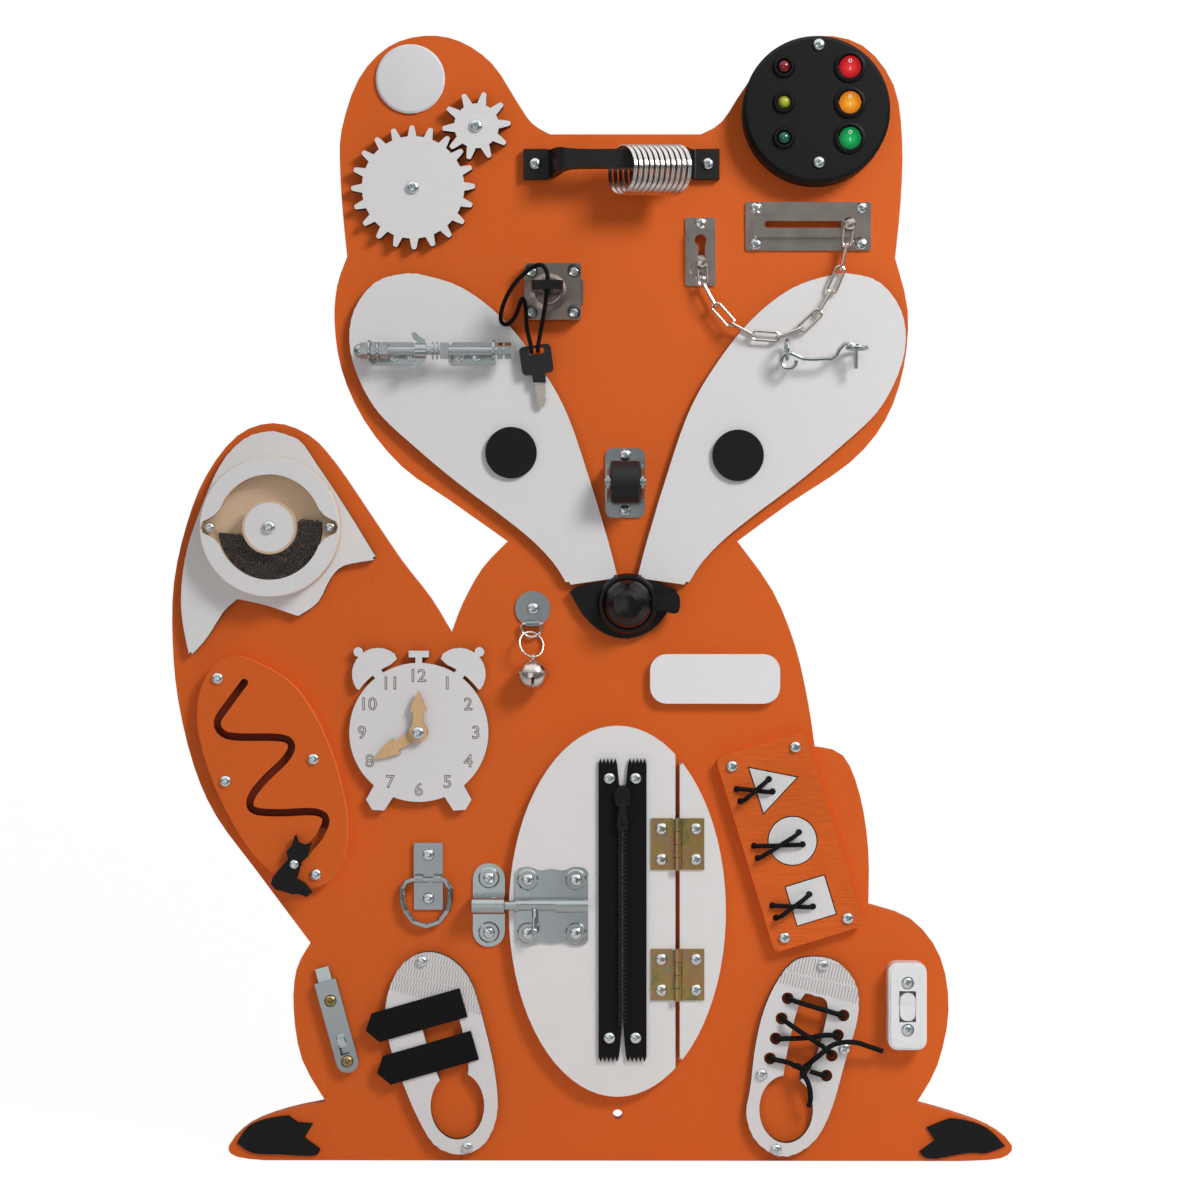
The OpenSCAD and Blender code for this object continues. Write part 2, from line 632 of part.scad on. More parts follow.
module light_box() {
  ply_step = light_box_h / 4;
  rim = [for (i = [0:3]) each [[light_box_r, i * ply_step + 0.4], [light_box_r, (i + 1) * ply_step - 0.4],
    [light_box_r - 0.4, (i + 1) * ply_step]]];
  color(black) {
    difference() {
      turned(light_at[0], light_at[1], 0)
        polygon(concat([[0, 0], [light_box_r - 0.4, 0]], [for (p = rim) if (p[1] < light_box_h - 3) p],
          [[light_box_r, light_box_h - 2.6], [light_box_r - 2.6, light_box_h], [0, light_box_h]]));
      for (z = lamp_rows) {
        rod_y(light_at[0] + lamp_dx, z, light_box_h - bezel_depth - 0.5, bezel_depth + 1, bezel_bore + 1.3);
        rod_y(light_at[0] - lamp_dx, z, light_box_h - 7, 8, lens_r + 1.4);
      }
      for (p = light_screws)
        rod_y(p[0], p[1], -1, light_box_h + 2, hole_r);
    }
    for (z = lamp_rows) {
      turned(light_at[0] + lamp_dx, z, light_box_h)
        polygon([[bezel_bore, -bezel_depth], [bezel_bore + 1.2, -bezel_depth], [bezel_bore + 1.2, 0],
          [bezel_bore + 3, 0], [bezel_bore + 2.6, 1.4], [bezel_bore + 0.9, 2.2], [bezel_bore, 1.6]]);
      turned(light_at[0] - lamp_dx, z, light_box_h)
        polygon([[lens_r + fit, -6], [lens_r + 1.3, -6], [lens_r + 1.3, 0], [lens_r + 3.2, 0],
          [lens_r + 2.8, 1.2], [lens_r + 1.8, 2.6], [lens_r + 0.7, 2.6], [lens_r + fit, 1.4]]);
    }
  }
}

module lamp_lenses() {
  color("#8A9A20")
    for (z = lamp_rows)
      turned(light_at[0] - lamp_dx, z, light_box_h)
        polygon(concat([[0, -5], [lens_r, -5], [lens_r, 0]], arc([0, 0], lens_r, 0, 90, 6)));
}

rocker_tilt = 8;

module rocker(z) {
  translate(at(light_at[0] + lamp_dx, z, light_box_h)) rotate([rocker_tilt, 0, 0]) union() {
    intersection() {
      rotate([90, 0, 0]) translate([0, 0, -2.4]) cylinder(h = 8, r = rocker_r);
      translate([-10, 0, 0]) rotate([90, 0, 90]) linear_extrude(20)
        polygon([[2.2, -9], [2.2, 9], [-2.6, 9], [-1.5, 0], [-2.6, -9]]);
    }
    translate([-bezel_bore + fit, 0, 0]) rotate([0, 90, 0])
      cylinder(h = 2 * (bezel_bore - fit), r = 1);
  }
}

module rocker_red() {
  color("#D9232A")
    rocker(lamp_rows[0]);
}

module rocker_amber() {
  color("#F09A1E")
    rocker(lamp_rows[1]);
}

module rocker_green() {
  color("#17A55A")
    rocker(lamp_rows[2]);
}

// ---- door chain ---------------------------------------------------------------------------------------

stud_r = 1.7;
knob_r = 4.3;
link_in = link_w / 2 - 2 * link_wire_r;
keeper_stud = [59.4, 604.5];
slot_from = track_at[0] - 29;
slot_to = track_at[0] + 31;
slider_x = 163.6;
slider_z = track_at[1] + 0.6;
slot_w = 2 * stud_r + 1.4;

module channel_box(c, size, wall = 1.2) {
  layer(sheet_t, channel_h - sheet_t) translate(c) polygon(rounded(size[0], size[1], 2.2));
}

module chain_plates() {
  color(nickel) {
    difference() {
      union() {
        layer(0, sheet_t) translate(keeper_at)
          polygon(rounded(keeper_size[0], keeper_size[1], 1.5));
        channel_box(keeper_at, [15, 31]);
      }
      layer(-1, channel_h - 0.2) translate(keeper_at) polygon(rounded(12.6, 28.6, 1));
      rod_y(keeper_at[0], keeper_at[1] + 7.3, 0, 20, 4.2);
      layer(0, 20) translate([keeper_stud[0], (keeper_stud[1] + keeper_at[1] + 7.3) / 2])
        square([slot_w, keeper_at[1] + 7.3 - keeper_stud[1]], center = true);
      rod_y(keeper_stud[0], keeper_stud[1], 0, 20, slot_w / 2);
      for (p = keeper_screws)
        rod_y(p[0], p[1], -1, 5, hole_r);
    }
    turned(keeper_stud[0], keeper_stud[1], 0)
      polygon([[0, 3.4], [5, 3.4], [5, channel_h - 1.2], [stud_r, channel_h - 1.2], [stud_r,
        channel_h + 2.8],
        [knob_r, channel_h + 3],
        [knob_r, channel_h + 4.6], [knob_r - 1.2, channel_h + 5.8], [0, channel_h + 6.2]]);
    difference() {
      union() {
        layer(0, sheet_t) translate(track_at) polygon(rounded(track_size[0], track_size[1], 1.5));
        channel_box(track_at + [0.5, 0.1], [77, 17]);
      }
      layer(-1, channel_h - 0.2) translate(track_at + [0.5, 0.1]) polygon(rounded(74.6, 14.6, 1));
      layer(0, 20) translate([(slot_from + slot_to) / 2, slider_z])
        square([slot_to - slot_from, slot_w], center = true);
      for (x = [slot_from, slot_to])
        rod_y(x, slider_z, 0, 20, slot_w / 2);
      for (p = track_screws)
        rod_y(p[0], p[1], -1, 5, hole_r);
    }
  }
}

module chain_slider() {
  color(nickel)
    turned(slider_x, slider_z, 0)
      polygon([[0, 2.6], [5.4, 2.6], [5.4, 4.6], [stud_r, 4.6], [stud_r, channel_h + 2.8], [knob_r,
        channel_h + 3],
        [knob_r, channel_h + 4.6], [knob_r - 1.2, channel_h + 5.8], [0, channel_h + 6.2]]);
}

// Where the ends of the links lie: x, z and lift. Links lie flat and on edge in turn.
chain_lift = channel_h + 1.5;
chain_path = [[59.2, 606, 8], [60.5, 588.7, 8], [68.9, 573.5, 8.4], [80.3, 560.4, 10.5], [95.7, 552.3, 10.8],
  [113, 551.1, 10.6], [129.4, 556.8, 10.6], [142.1, 568.7, 10.6], [150.9, 583.6, 10], [157.6, 599.7, 10.5],
  [162, 616.5, 9], [163.9, 633, 8]];

module chain_link(a, b, on_edge) {
  p = at(a[0], a[1], a[2]);
  q = at(b[0], b[1], b[2]);
  mid = (p + q) / 2;
  u = unit(q - p);
  forward = unit([0, -1, 0] - (u * [0, -1, 0]) * u);
  across = cross(u, forward);
  v = on_edge ? forward : across;
  n = on_edge ? across : forward;
  r = link_w / 2 - link_wire_r;
  half = link_l / 2 - link_w / 2;
  path = [for (i = [0:15]) let (k = 22.5 * i + 11.25)
    mid + u * (half * (k < 90 || k > 270 ? 1 : -1) + r * cos(k)) + v * r * sin(k)];
  wire(path, link_wire_r, n);
}

module chain_links() {
  color(nickel)
    for (i = [0:len(chain_path) - 2])
      chain_link(chain_path[i], chain_path[i + 1], i % 2 == 1);
}

// ---- drawer lock --------------------------------------------------------------------------------------

latch_w = 18;
latch_t = 4;
key_t = 6.4;
key_bow = 22;
key_shaft_r = 4.2;
key_lift = lock_h + barrel_l;

module lock_case() {
  color(nickel)
    difference() {
      union() {
        layer(0, lock_h) translate(lock_at) polygon(rounded(lock_w, lock_w, 2.5));
        turned(barrel_at[0], barrel_at[1], lock_h)
          polygon([[0, 0], [barrel_r + 3.2, 0], [barrel_r + 3.2, 2.2], [barrel_r, 3], [barrel_r,
            barrel_l - 1],
            [barrel_r - 1, barrel_l], [0, barrel_l]]);
      }
      for (p = lock_screws) {
        rod_y(p[0], p[1], -1, 20, hole_r);
        rod_y(p[0], p[1], 7, 20, head_r + 0.8);
      }
      rod_y(barrel_at[0], barrel_at[1], lock_h - 5.2, barrel_l + 7, key_shaft_r + run_fit);
      block(lock_at[0] + lock_w / 2, lock_at[1], 2, [44, latch_w + 2 * fit, latch_t + 2 * fit]);
    }
}

module lock_latch() {
  x = [lock_at[0] - 1.5, lock_at[0] + lock_w / 2 + 1.4];
  color(nickel)
    layer(2 + fit, latch_t)
      polygon([[x[0], lock_at[1] - latch_w / 2], [x[1] - 0.6, lock_at[1] - latch_w / 2],
        [x[1], lock_at[1] - latch_w / 2 + 0.6], [x[1], lock_at[1] + latch_w / 2 - 0.6],
        [x[1] - 0.6, lock_at[1] + latch_w / 2], [x[0], lock_at[1] + latch_w / 2]]);
}

module lock_key() {
  color(black)
    difference() {
      union() {
        translate([barrel_at[0], -board_t - key_lift - 9, barrel_at[1] - key_t / 2])
          linear_extrude(key_t) mirror([0, 1])
            polygon(concat([[-4.5, 0], [4.5, 0]], arc([key_bow / 2 - 3, 6], 3, -60, 0, 3),
              arc([key_bow / 2 - 4, 18], 4, 0, 90, 4), arc([4 - key_bow / 2, 18], 4, 90, 180, 4),
              arc([3 - key_bow / 2, 6], 3, 180, 240, 3)));
        rod_y(barrel_at[0], barrel_at[1], lock_h - 5, barrel_l + 15, key_shaft_r);
      }
      rod_z(barrel_at[0], barrel_at[1] - 9, barrel_at[1] + 9, key_lift + 24, 4);
    }
}

spare_at = [-57.4, 535];

module spare_key() {
  color(black)
    difference() {
      layer(panel_t + 0.5, key_t) translate(spare_at) rotate(8) union() {
        polygon(rounded(22.4, 20, 3));
        translate([0, -13]) square([9, 8], center = true);
      }
      layer(panel_t - 1, 20) translate(spare_at) rotate(8) translate([0, 6])
        polygon(rounded(13, 5, 2.4));
    }
  color(nickel)
    layer(panel_t + 2.7, 2.2) translate(spare_at) rotate(8)
      polygon([[-3.4, -17], [3.4, -17], [3.4, -24], [2.2, -26], [3.2, -28], [2, -31], [0.4, -34],
        [-1.8, -33], [-3.4, -30]]);
}

key_cord_r = 1.5;
// x, z and lift
key_cord_path = [[-56.4, 541.2, 9.5], [-56.3, 541.4, 13.8], [-55.8, 545.5, 16.4], [-54.6, 552, 18],
  [-52.4, 562, 27],
  [-50.2, 572, 44], [-49, 582.6, 48], [-49, 591, 49], [-53, 597, 47], [-61, 595, 42], [-72, 586, 32],
    [-80, 574, 20],
  [-82.5, 563, 12], [-78, 560, 9.5], [-72, 566, 13], [-67, 576, 27], [-64.5, 570, 29], [-64, 558, 22],
  [-62.2, 549, 17.4], [-61.2, 544.8, 16.2], [-60.9, 541, 13.8], [-60.8, 540.7, 9.5]];

module key_cord() {
  color(black)
    wire([for (p = key_cord_path) at(p[0], p[1], p[2])], key_cord_r);
}

// ---- bolt and nuts, gate hook -------------------------------------------------------------------------

module angle_bracket(ear_x, far_x) {
  dir = sign(far_x - ear_x);
  difference() {
    union() {
      layer(panel_t, sheet_t)
        polygon([[ear_x, rod_z0 - bracket_w / 2], [far_x - dir * 2, rod_z0 - bracket_w / 2],
          [far_x, rod_z0 - bracket_w / 2 + 2], [far_x, rod_z0 + bracket_w / 2 - 2],
          [far_x - dir * 2, rod_z0 + bracket_w / 2], [ear_x, rod_z0 + bracket_w / 2]]);
      side(min(ear_x, ear_x + dir * sheet_t), max(ear_x, ear_x + dir * sheet_t)) union() {
        translate([rod_z0 - bracket_w / 2, panel_t]) square([bracket_w, rod_rise]);
        translate([rod_z0, rod_lift]) circle(bracket_w / 2);
      }
    }
    rod_x(min(ear_x, far_x) - 5, max(ear_x, far_x) + 5, rod_z0, rod_lift, rod_r + fit);
    for (p = bracket_screws)
      rod_y(p[0], p[1], panel_t - 1, 5, hole_r);
  }
}

eye_r0 = 7;
left_eye = [119.1, 541.6];
right_eye = [168.3, 542.6];
eye_lift = panel_t + 11;

module brackets_and_eyes() {
  color(zinc) {
    for (b = bracket_spans)
      angle_bracket(b[0], b[1]);
    wire([for (i = [0:19]) at(left_eye[0], left_eye[1] + eye_r0 * sin(18 * i),
      eye_lift + eye_r0 * cos(18 * i))],
      hook_wire_r, [1, 0, 0]);
    wire([for (i = [0:19]) at(right_eye[0] + eye_r0 * sin(18 * i), right_eye[1],
      eye_lift + eye_r0 * cos(18 * i))],
      hook_wire_r, [0, 0, 1]);
  }
}

module nut(from, to, af = nut_af) {
  translate(at(from, rod_z0, rod_lift)) rotate([0, 90, 0])
    cylinder(h = to - from, r = af / 2 / cos(30), $fn = 6);
}

module threaded_bolt() {
  color(zinc)
    union() {
      rod_x(-182, -79, rod_z0, rod_lift, rod_r);
      nut(-79.2, -74.8);
      nut(-84.4, -80.6);
      nut(-124.4, -118.6);
      nut(-167, -161);
      nut(-172.9, -169.4);
      nut(-180.4, -175.2 - 0.2);
      for (x = [-168.9, -130.2, -127.2])
        rod_x(x, x + 1.3, rod_z0, rod_lift, 6.2);
      translate(at(-180.4, rod_z0, rod_lift)) sphere(r = 5);
    }
}

wing_x = -138;

module wing_nut() {
  color(zinc)
    difference() {
      union() {
        rod_x(wing_x - 4, wing_x + 4, rod_z0, rod_lift, 5.4);
        layer(rod_lift - 1.2, 2.4) translate([wing_x, rod_z0]) union() for (s = [-1, 1])
          polygon([[4, s * 4], [-1, s * 4.4], [-5, s * 8], [-7, s * 12], [-3.6, s * 13],
            [-0.4, s * 9.6], [2.6, s * 8]]);
      }
      rod_x(wing_x - 9, wing_x + 9, rod_z0, rod_lift, rod_r + fit);
    }
}

hook_at = [120.2, 533.6];
hook_ring_r = 5.4;

module gate_hook() {
  lift = eye_lift + 0.6;
  ring = [for (a = [0:-30:-270]) hook_at + hook_ring_r * [cos(a), sin(a)]];
  bar = [[122.4, 538.6], [126, 537], [130, 535.2], [136, 534.6], [150, 535.2], [153.4, 537.4], [156, 542],
    [159.4, 545.7], [163.6, 545.8], [166.4, 543.8], [167.2, 540], [167.5, 528]];
  color(zinc)
    wire([for (p = concat(ring, bar)) at(p[0], p[1], lift)], hook_wire_r);
}

// ---- roller -------------------------------------------------------------------------------------------

module roller_frame() {
  ear = [-roller_w / 2 - 2.6, roller_w / 2 + 1.1];
  color(zinc)
    union() {
      difference() {
        layer(0, sheet_t) translate(roller_at)
          polygon(rounded(roller_plate[0], roller_plate[1], 5.5));
        for (p = roller_screws)
          rod_y(p[0], p[1], -1, 5, hole_r);
      }
      for (x = ear)
        side(roller_at[0] + x, roller_at[0] + x + sheet_t) translate([roller_at[1], 0])
          polygon(concat([[-14, 0], [14, 0], [13, 6]], arc([0, roller_lift], 6, 20, 160, 8), [[-13, 6]]));
      rod_x(roller_at[0] + ear[0] - 1.5, roller_at[0] + ear[1] + 3, roller_at[1], roller_lift, 3);
    }
}

module roller_wheel() {
  color(black)
    translate(at(roller_at[0], roller_at[1], roller_lift)) rotate([0, 90, 0]) rotate_extrude()
      polygon([[3 + run_fit, -roller_w / 2], [roller_r - 1, -roller_w / 2], [roller_r, 1 - roller_w / 2],
        [roller_r, roller_w / 2 - 1], [roller_r - 1, roller_w / 2], [3 + run_fit, roller_w / 2]]);
}

// ---- bicycle bell -------------------------------------------------------------------------------------

bell_at = [7.2, 362.6];
bell_lift = panel_t;
bell_base_h = 5;
dome_h = 15;
lever_pivot = [29.6, 363.2];
dome_in = dome_h - bell_wall - 0.4;

module bell_base() {
  color(black)
    union() {
      turned(bell_at[0], bell_at[1], bell_lift)
        polygon([[0, 0], [bell_base_r, 0], [bell_base_r, 2.6], [bell_base_r - 1.6, bell_base_h],
          [bell_dome_r + 0.8, bell_base_h], [bell_dome_r - 1, bell_base_h - 2], [2.6, bell_base_h - 2],
          [2.6, bell_base_h + 0.2 + dome_in], [0, bell_base_h + 0.2 + dome_in]]);
      rod_y(lever_pivot[0], lever_pivot[1], bell_lift, bell_base_h, 6.5);
      rod_y(lever_pivot[0], lever_pivot[1], bell_lift, bell_base_h + 7, 2.2);
    }
}

module bell_dome() {
  outer = [[bell_dome_r, 0], [bell_dome_r - 0.4, 4], [bell_dome_r - 2.4, 8], [11.4, 11.4], [11, 12.2],
    [10, 13.4],
    [6, 14.6], [0, dome_h]];
  inner = [[0, dome_in], [5, dome_in], [9, dome_in - 1.6], [10.2, dome_in - 2.8],
    [bell_dome_r - 3.9, 7.4], [bell_dome_r - 1.6, 3.6], [bell_dome_r - bell_wall, 0]];
  color(black)
    turned(bell_at[0], bell_at[1], bell_lift + bell_base_h + 0.2) polygon(concat(outer, inner));
}

module bell_lever() {
  color(black)
    difference() {
      layer(bell_lift + bell_base_h + 0.3, 5.5) translate(lever_pivot)
        polygon(loop([[-3.4, 0], [-1, 4.2], [3, 5.4], [8, 7.8], [13, 6.4], [14.4, 0], [12.6, -6.8],
          [7, -7], [3, -5], [-1, -4.2]], 3));
      rod_y(lever_pivot[0], lever_pivot[1], bell_lift, 20, 2.2 + run_fit);
    }
}

// ---- seed drum ----------------------------------------------------------------------------------------

hub_r = 17.3;
hub_ring_r = hub_r + 1.7;
drum_ledge = 6;
drum_tip = [[48.4, 0], [46.8, 4], [42.6, 6], [38.4, 8.6], [34.4, 13.2]];

// The round window with a pointed lobe on each side; grow moves the whole edge.
module drum_shape(grow) {
  half = [for (p = drum_tip) p * (1 + grow / 48)];
  circle(drum_window_r + grow, $fn = 96);
  polygon(concat(half, [for (i = [4:-1:0]) [-half[i][0], half[i][1]]], [for (i = [1:4]) -half[i]],
    [for (i = [4:-1:1]) [half[i][0], -half[i][1]]]));
}

module drum_case() {
  color(white)
    difference() {
      turned(drum_at[0], drum_at[1], drum_lift)
        polygon([[0, 0], [drum_r, 0], [drum_r, drum_t - 0.8], [drum_r - 0.8, drum_t], [0, drum_t]]);
      layer(drum_lift + 3, drum_t) translate(drum_at) difference() {
        circle(drum_window_r, $fn = 96);
        circle(hub_ring_r);
      }
      layer(drum_lift + drum_t - drum_ledge, drum_t) translate(drum_at) difference() {
        drum_shape(0);
        circle(hub_ring_r);
      }
      rod_y(drum_at[0], drum_at[1], drum_lift - 1, drum_t + 2, pivot_r + run_fit);
      for (s = [-1, 1])
        rod_y(drum_at[0] + s * 42.6, drum_at[1], drum_lift + 3.5, 10, shank_r + fit);
    }
}

module drum_window() {
  color([0.85, 0.9, 0.92, 0.35])
    layer(drum_lift + drum_t - drum_ledge, 2) translate(drum_at) difference() {
      drum_shape(-0.5);
      circle(hub_ring_r + 0.4);
      for (s = [-1, 1])
        translate([s * 42.6, 0]) circle(hole_r);
    }
  color(zinc)
    for (s = [-1, 1])
      turned(drum_at[0] + s * 42.6, drum_at[1], drum_lift + drum_t - drum_ledge + 2)
        polygon([[0, -7], [shank_r, -7], [shank_r, 0], [3.4, 0], [3.2, 1.2], [2, 1.8], [0, 2]]);
}

module drum_seeds() {
  color("#2A2226")
    layer(drum_lift + 3 + soft_gap, drum_t - drum_ledge - 3 - 2 * soft_gap) translate(drum_at)
      difference() {
        intersection() {
          circle(drum_window_r - soft_gap, $fn = 96);
          polygon([[-40, -3], [-14, -6], [14, 0], [22, 6], [40, 3], [40, -40], [-40, -40]]);
        }
        circle(hub_ring_r + soft_gap);
      }
}

// ---- clock --------------------------------------------------------------------------------------------

module clock_bell(s) {
  // a half-round bell on a short neck, with a ball on top
  c = [s * 33.5, 46.5];
  lean = -s * 42;
  union() {
    difference() {
      translate(c) rotate(lean)
        polygon(concat(arc([0, -7], 18.5, 8, 172, 12), [[-17, -8], [17, -8]]));
      circle(clock_r + 2.6, $fn = 72);
    }
    translate(c) rotate(lean) translate([0, -7]) square([7, 16], center = true);
    translate(c) rotate(lean) translate([0, 14]) circle(3.4);
  }
}

module clock_body() {
  color(white)
    layer(0, panel_t) translate(clock_at) difference() {
      union() {
        circle(clock_r, $fn = 96);
        for (s = [-1, 1]) {
          clock_bell(s);
          rotate(s * 31) polygon([[-7.5, -60], [0, -64], [7.5, -60], [8, -46], [-8, -46]]);
        }
        translate([0, 50]) square([4.8, 8], center = true);
        translate([0, 55.4]) square([14.4, 4.7], center = true);
      }
      circle(pivot_r + fit);
    }
}

module hand(length, shaft_w, head_w, lift, angle) {
  color(ply)
    layer(lift, hand_t) translate(clock_at) rotate(angle) difference() {
      union() {
        circle(6.6);
        polygon([[shaft_w / 2, 0], [shaft_w / 2 - 1, length * 0.5], [head_w / 2, length * 0.5],
          [head_w * 0.32, length * 0.74], [0, length], [-head_w * 0.32, length * 0.74],
          [-head_w / 2, length * 0.5], [1 - shaft_w / 2, length * 0.5], [-shaft_w / 2, 0]]);
      }
      circle(pivot_r + run_fit);
    }
}

module hour_hand() {
  hand(hour_l, 8.8, 11.6, hour_lift, 0);
}

module minute_hand() {
  hand(minute_l + 2, 8.8, 12.4, panel_t + 0.4, 121);
}

// ---- maze ---------------------------------------------------------------------------------------------

maze_outline = loop([[-269, 326], [-235, 310], [-216, 287], [-201, 254], [-193, 223], [-191, 202], [-194,
  181],
  [-204, 166], [-222, 162], [-243, 172], [-263, 193], [-284, 232], [-296, 270], [-296, 297], [-287, 317]]);
slide_from = [-227.8, 179.3];
slide_to = [-211, 197.6];
groove = concat(run([[-263.8, 307], [-275, 292], [-283, 279.5], [-279, 271], [-267, 268.5], [-238, 268],
  [-230.5, 262.5], [-235, 252.6], [-249, 239], [-258.5, 227], [-259.5, 219], [-253, 215.6], [-236, 215],
  [-214, 215.6], [-206, 210], slide_to], 3), [slide_to, slide_from]);
slider_lift = maze_t + head_h + 0.4;

module maze_plate() {
  color(orange)
    difference() {
      layer(0, maze_t) difference() {
        polygon(maze_outline);
        drill(maze_screws);
      }
      layer(1, maze_t) {
        polygon(band(groove, groove_w));
        for (p = [groove[0], slide_from])
          translate(p) circle(groove_w / 2);
      }
      layer(-1, 5.5) {
        polygon(band([slide_from, slide_to + 1.2 * unit(slide_to - slide_from)], 13));
        for (p = [slide_from, slide_to])
          translate(p) circle(6.5);
      }
    }
}

fox_figure = [[0.2, 20], [-1.7, 13.2], [-5.4, 9.1], [-4.4, 3.4], [-7.4, 0], [-12, -5.3], [-15, -8.8],
  [-16.4, -14], [-13.2, -17.7], [-6.3, -19.6], [-1.7, -21.2], [2.9, -20.9], [8.8, -23], [12.8, -20],
  [7.6, -13.4], [1.8, -10], [3.8, -3.6], [4.4, 1.4], [7.4, 3.4], [9.9, 5.7], [9.7, 8], [12.5, 15.5],
  [7.3, 13.7], [2.9, 15.5], [1.4, 20.6]];

module maze_slider() {
  color(black)
    union() {
      layer(slider_lift, 3.4) translate(slide_from) polygon(fox_figure);
      rod_y(slide_from[0], slide_from[1], 1.5, slider_lift - 1.5, groove_w / 2 - 0.3);
      rod_y(slide_from[0], slide_from[1], 1.2, 2.4, 5.6);
      rod_y(slide_from[0], slide_from[1], maze_t + soft_gap, slider_lift - maze_t - soft_gap, 4.6);
    }
}

// ---- jingle set and lashing ring ----------------------------------------------------------------------

clip_w = 10;
bar_z = 348.6;
bar_lift = 3.8;
d_wire_r = 1;
bell_r = 10.7;
lash_bar_z = 167.2;
lash_bar_lift = sheet_t + 3;

module ring_anchors() {
  color(zinc) {
    difference() {
      union() {
        rod_y(jingle_at[0], jingle_at[1], 0, sheet_t, 12.5);
        layer(sheet_t, sheet_t) translate(jingle_at) union() {
          circle(clip_w / 2);
          translate([-clip_w / 2, bar_z - jingle_at[1] + 1])
            square([clip_w, jingle_at[1] - bar_z - 1]);
        }
        difference() {
          rod_x(jingle_at[0] - clip_w / 2, jingle_at[0] + clip_w / 2, bar_z, bar_lift, 2.5);
          rod_x(jingle_at[0] - 9, jingle_at[0] + 9, bar_z, bar_lift, 1.3);
        }
      }
      rod_y(jingle_at[0], jingle_at[1], -1, 8, hole_r);
      rod_x(jingle_at[0] - 9, jingle_at[0] + 9, bar_z, bar_lift, 1.3);
    }
    difference() {
      union() {
        layer(0, sheet_t) translate(lash_at) polygon(rounded(20.5, 47.6, 1));
        layer(sheet_t, sheet_t) translate([lash_at[0], lash_at[1] + 11.5])
          polygon(rounded(20.5, 24.6, 1));
        for (s = [-1, 1])
          rod_x(lash_at[0] + s * 6.6 - 2.8, lash_at[0] + s * 6.6 + 2.8, lash_bar_z, lash_bar_lift, 3.9);
      }
      rod_x(lash_at[0] - 20, lash_at[0] + 20, lash_bar_z, lash_bar_lift, lash_wire_r + 0.25);
      block(lash_at[0], lash_bar_z - 8, sheet_t, [30, 12, 20]);
      for (p = lash_screws)
        rod_y(p[0], p[1], -1, 8, hole_r);
    }
  }
}

module jingle_ring() {
  half = [[7, 0], [7.6, -2.4], [6.4, -6], [3.4, -8.6], [0, -9.4]];
  path = concat([[-4, 0], [0, 0], [4, 0]], half, [for (i = [3:-1:0]) [-half[i][0], half[i][1]]]);
  color(nickel) {
    wire([for (p = path) at(jingle_at[0] + p[0] - (p[1] < 0 ? 0.8 : 0), bar_z + p[1], bar_lift)], d_wire_r,
      [0, 1, 0]);
    translate(split_at) rotate([-20, 0, 0]) rotate([90, 0, 26]) rotate_extrude()
      translate([split_r, 0]) circle(0.8, $fn = 24);
  }
}

split_r = 9.2;
split_at = at(-61, 334, 6.4);
bell_tilt = 15;
bell_c = at(-59.7, 312.7, 12.2);
bell_loop = 12.9;

module jingle_bell() {
  color(nickel)
    translate(bell_c) rotate([-bell_tilt, 0, 0]) {
      difference() {
        union() {
          sphere(r = bell_r);
          cylinder(h = 1.4, r = bell_r + 0.9, center = true);
          cylinder(h = bell_loop - 1.2, r = 1.4);
          translate([0, 0, bell_loop]) rotate([0, 90, 0]) cylinder(h = 1.2, r = 2.5, center = true);
        }
        sphere(r = bell_r - 0.9);
        translate([-1, -bell_r - 2, -bell_r - 2]) cube([2, 2 * bell_r + 4, bell_r - 2]);
        translate([0, 0, bell_loop]) rotate([0, 90, 0]) cylinder(h = 10, r = 1.5, center = true);
      }
      translate([0, 0, 3.9 - bell_r]) sphere(r = 2.8);
    }
}

module lashing_ring() {
  half = [[11.5, 0], [14.5, -1.6], [17, -6], [17.2, -14], [15, -22], [9, -30], [0, -33]];
  path = concat([[-7, 0], [0, 0], [7, 0]], half, [for (i = [5:-1:0]) [-half[i][0], half[i][1]]]);
  color(zinc)
    wire([for (p = path) at(lash_at[0] - 1.4 * (p[1] < 0 ? 1 : 0) + p[0], lash_bar_z + p[1], lash_bar_lift)],
      lash_wire_r, [0, 1, 0], 10);
}

// ---- belly --------------------------------------------------------------------------------------------

butt_r = 2.9;
butt_pin_r = 1.4;
butt_t = 1.3;
butt_lift = belly_t + butt_r + 0.1;
knuckles = 4;

module belly_door() {
  color(white)
    layer(0.3, belly_t - 0.3) difference() {
      intersection() {
        belly_outline();
        translate([door_gap_x - door_gap / 2 - belly_w, -40]) square([belly_w, belly_l + 80]);
      }
      drill([for (p = butt_screws) if (p[0] < door_gap_x) p]);
      drill(bolt_case_screws);
      drill(zip_screws);
    }
}

// A leaf with its knuckles: dir is 1 for the frame's leaf and -1 for the door's.
module butt_leaf(z, dir, first) {
  step = butt_l / knuckles;
  difference() {
    union() {
      difference() {
        layer(belly_t, butt_t) translate([door_gap_x + dir * 9.4, z])
          square([18.8, butt_l], center = true);
        layer(belly_t - 1, 9) for (i = [0:knuckles - 1]) if (i % 2 != first)
          translate([door_gap_x, z - butt_l / 2 + (i + 0.5) * step])
            square([2 * butt_r + 1, step + 0.4], center = true);
      }
      for (i = [first:2:knuckles - 1])
        rod_z(door_gap_x, z - butt_l / 2 + i * step + 0.2, z - butt_l / 2 + (i + 1) * step - 0.2, butt_lift,
          butt_r);
    }
    rod_z(door_gap_x, z - butt_l, z + butt_l, butt_lift, butt_pin_r + run_fit);
    for (p = butt_screws)
      rod_y(p[0], p[1], belly_t - 1, 8, hole_r);
  }
}

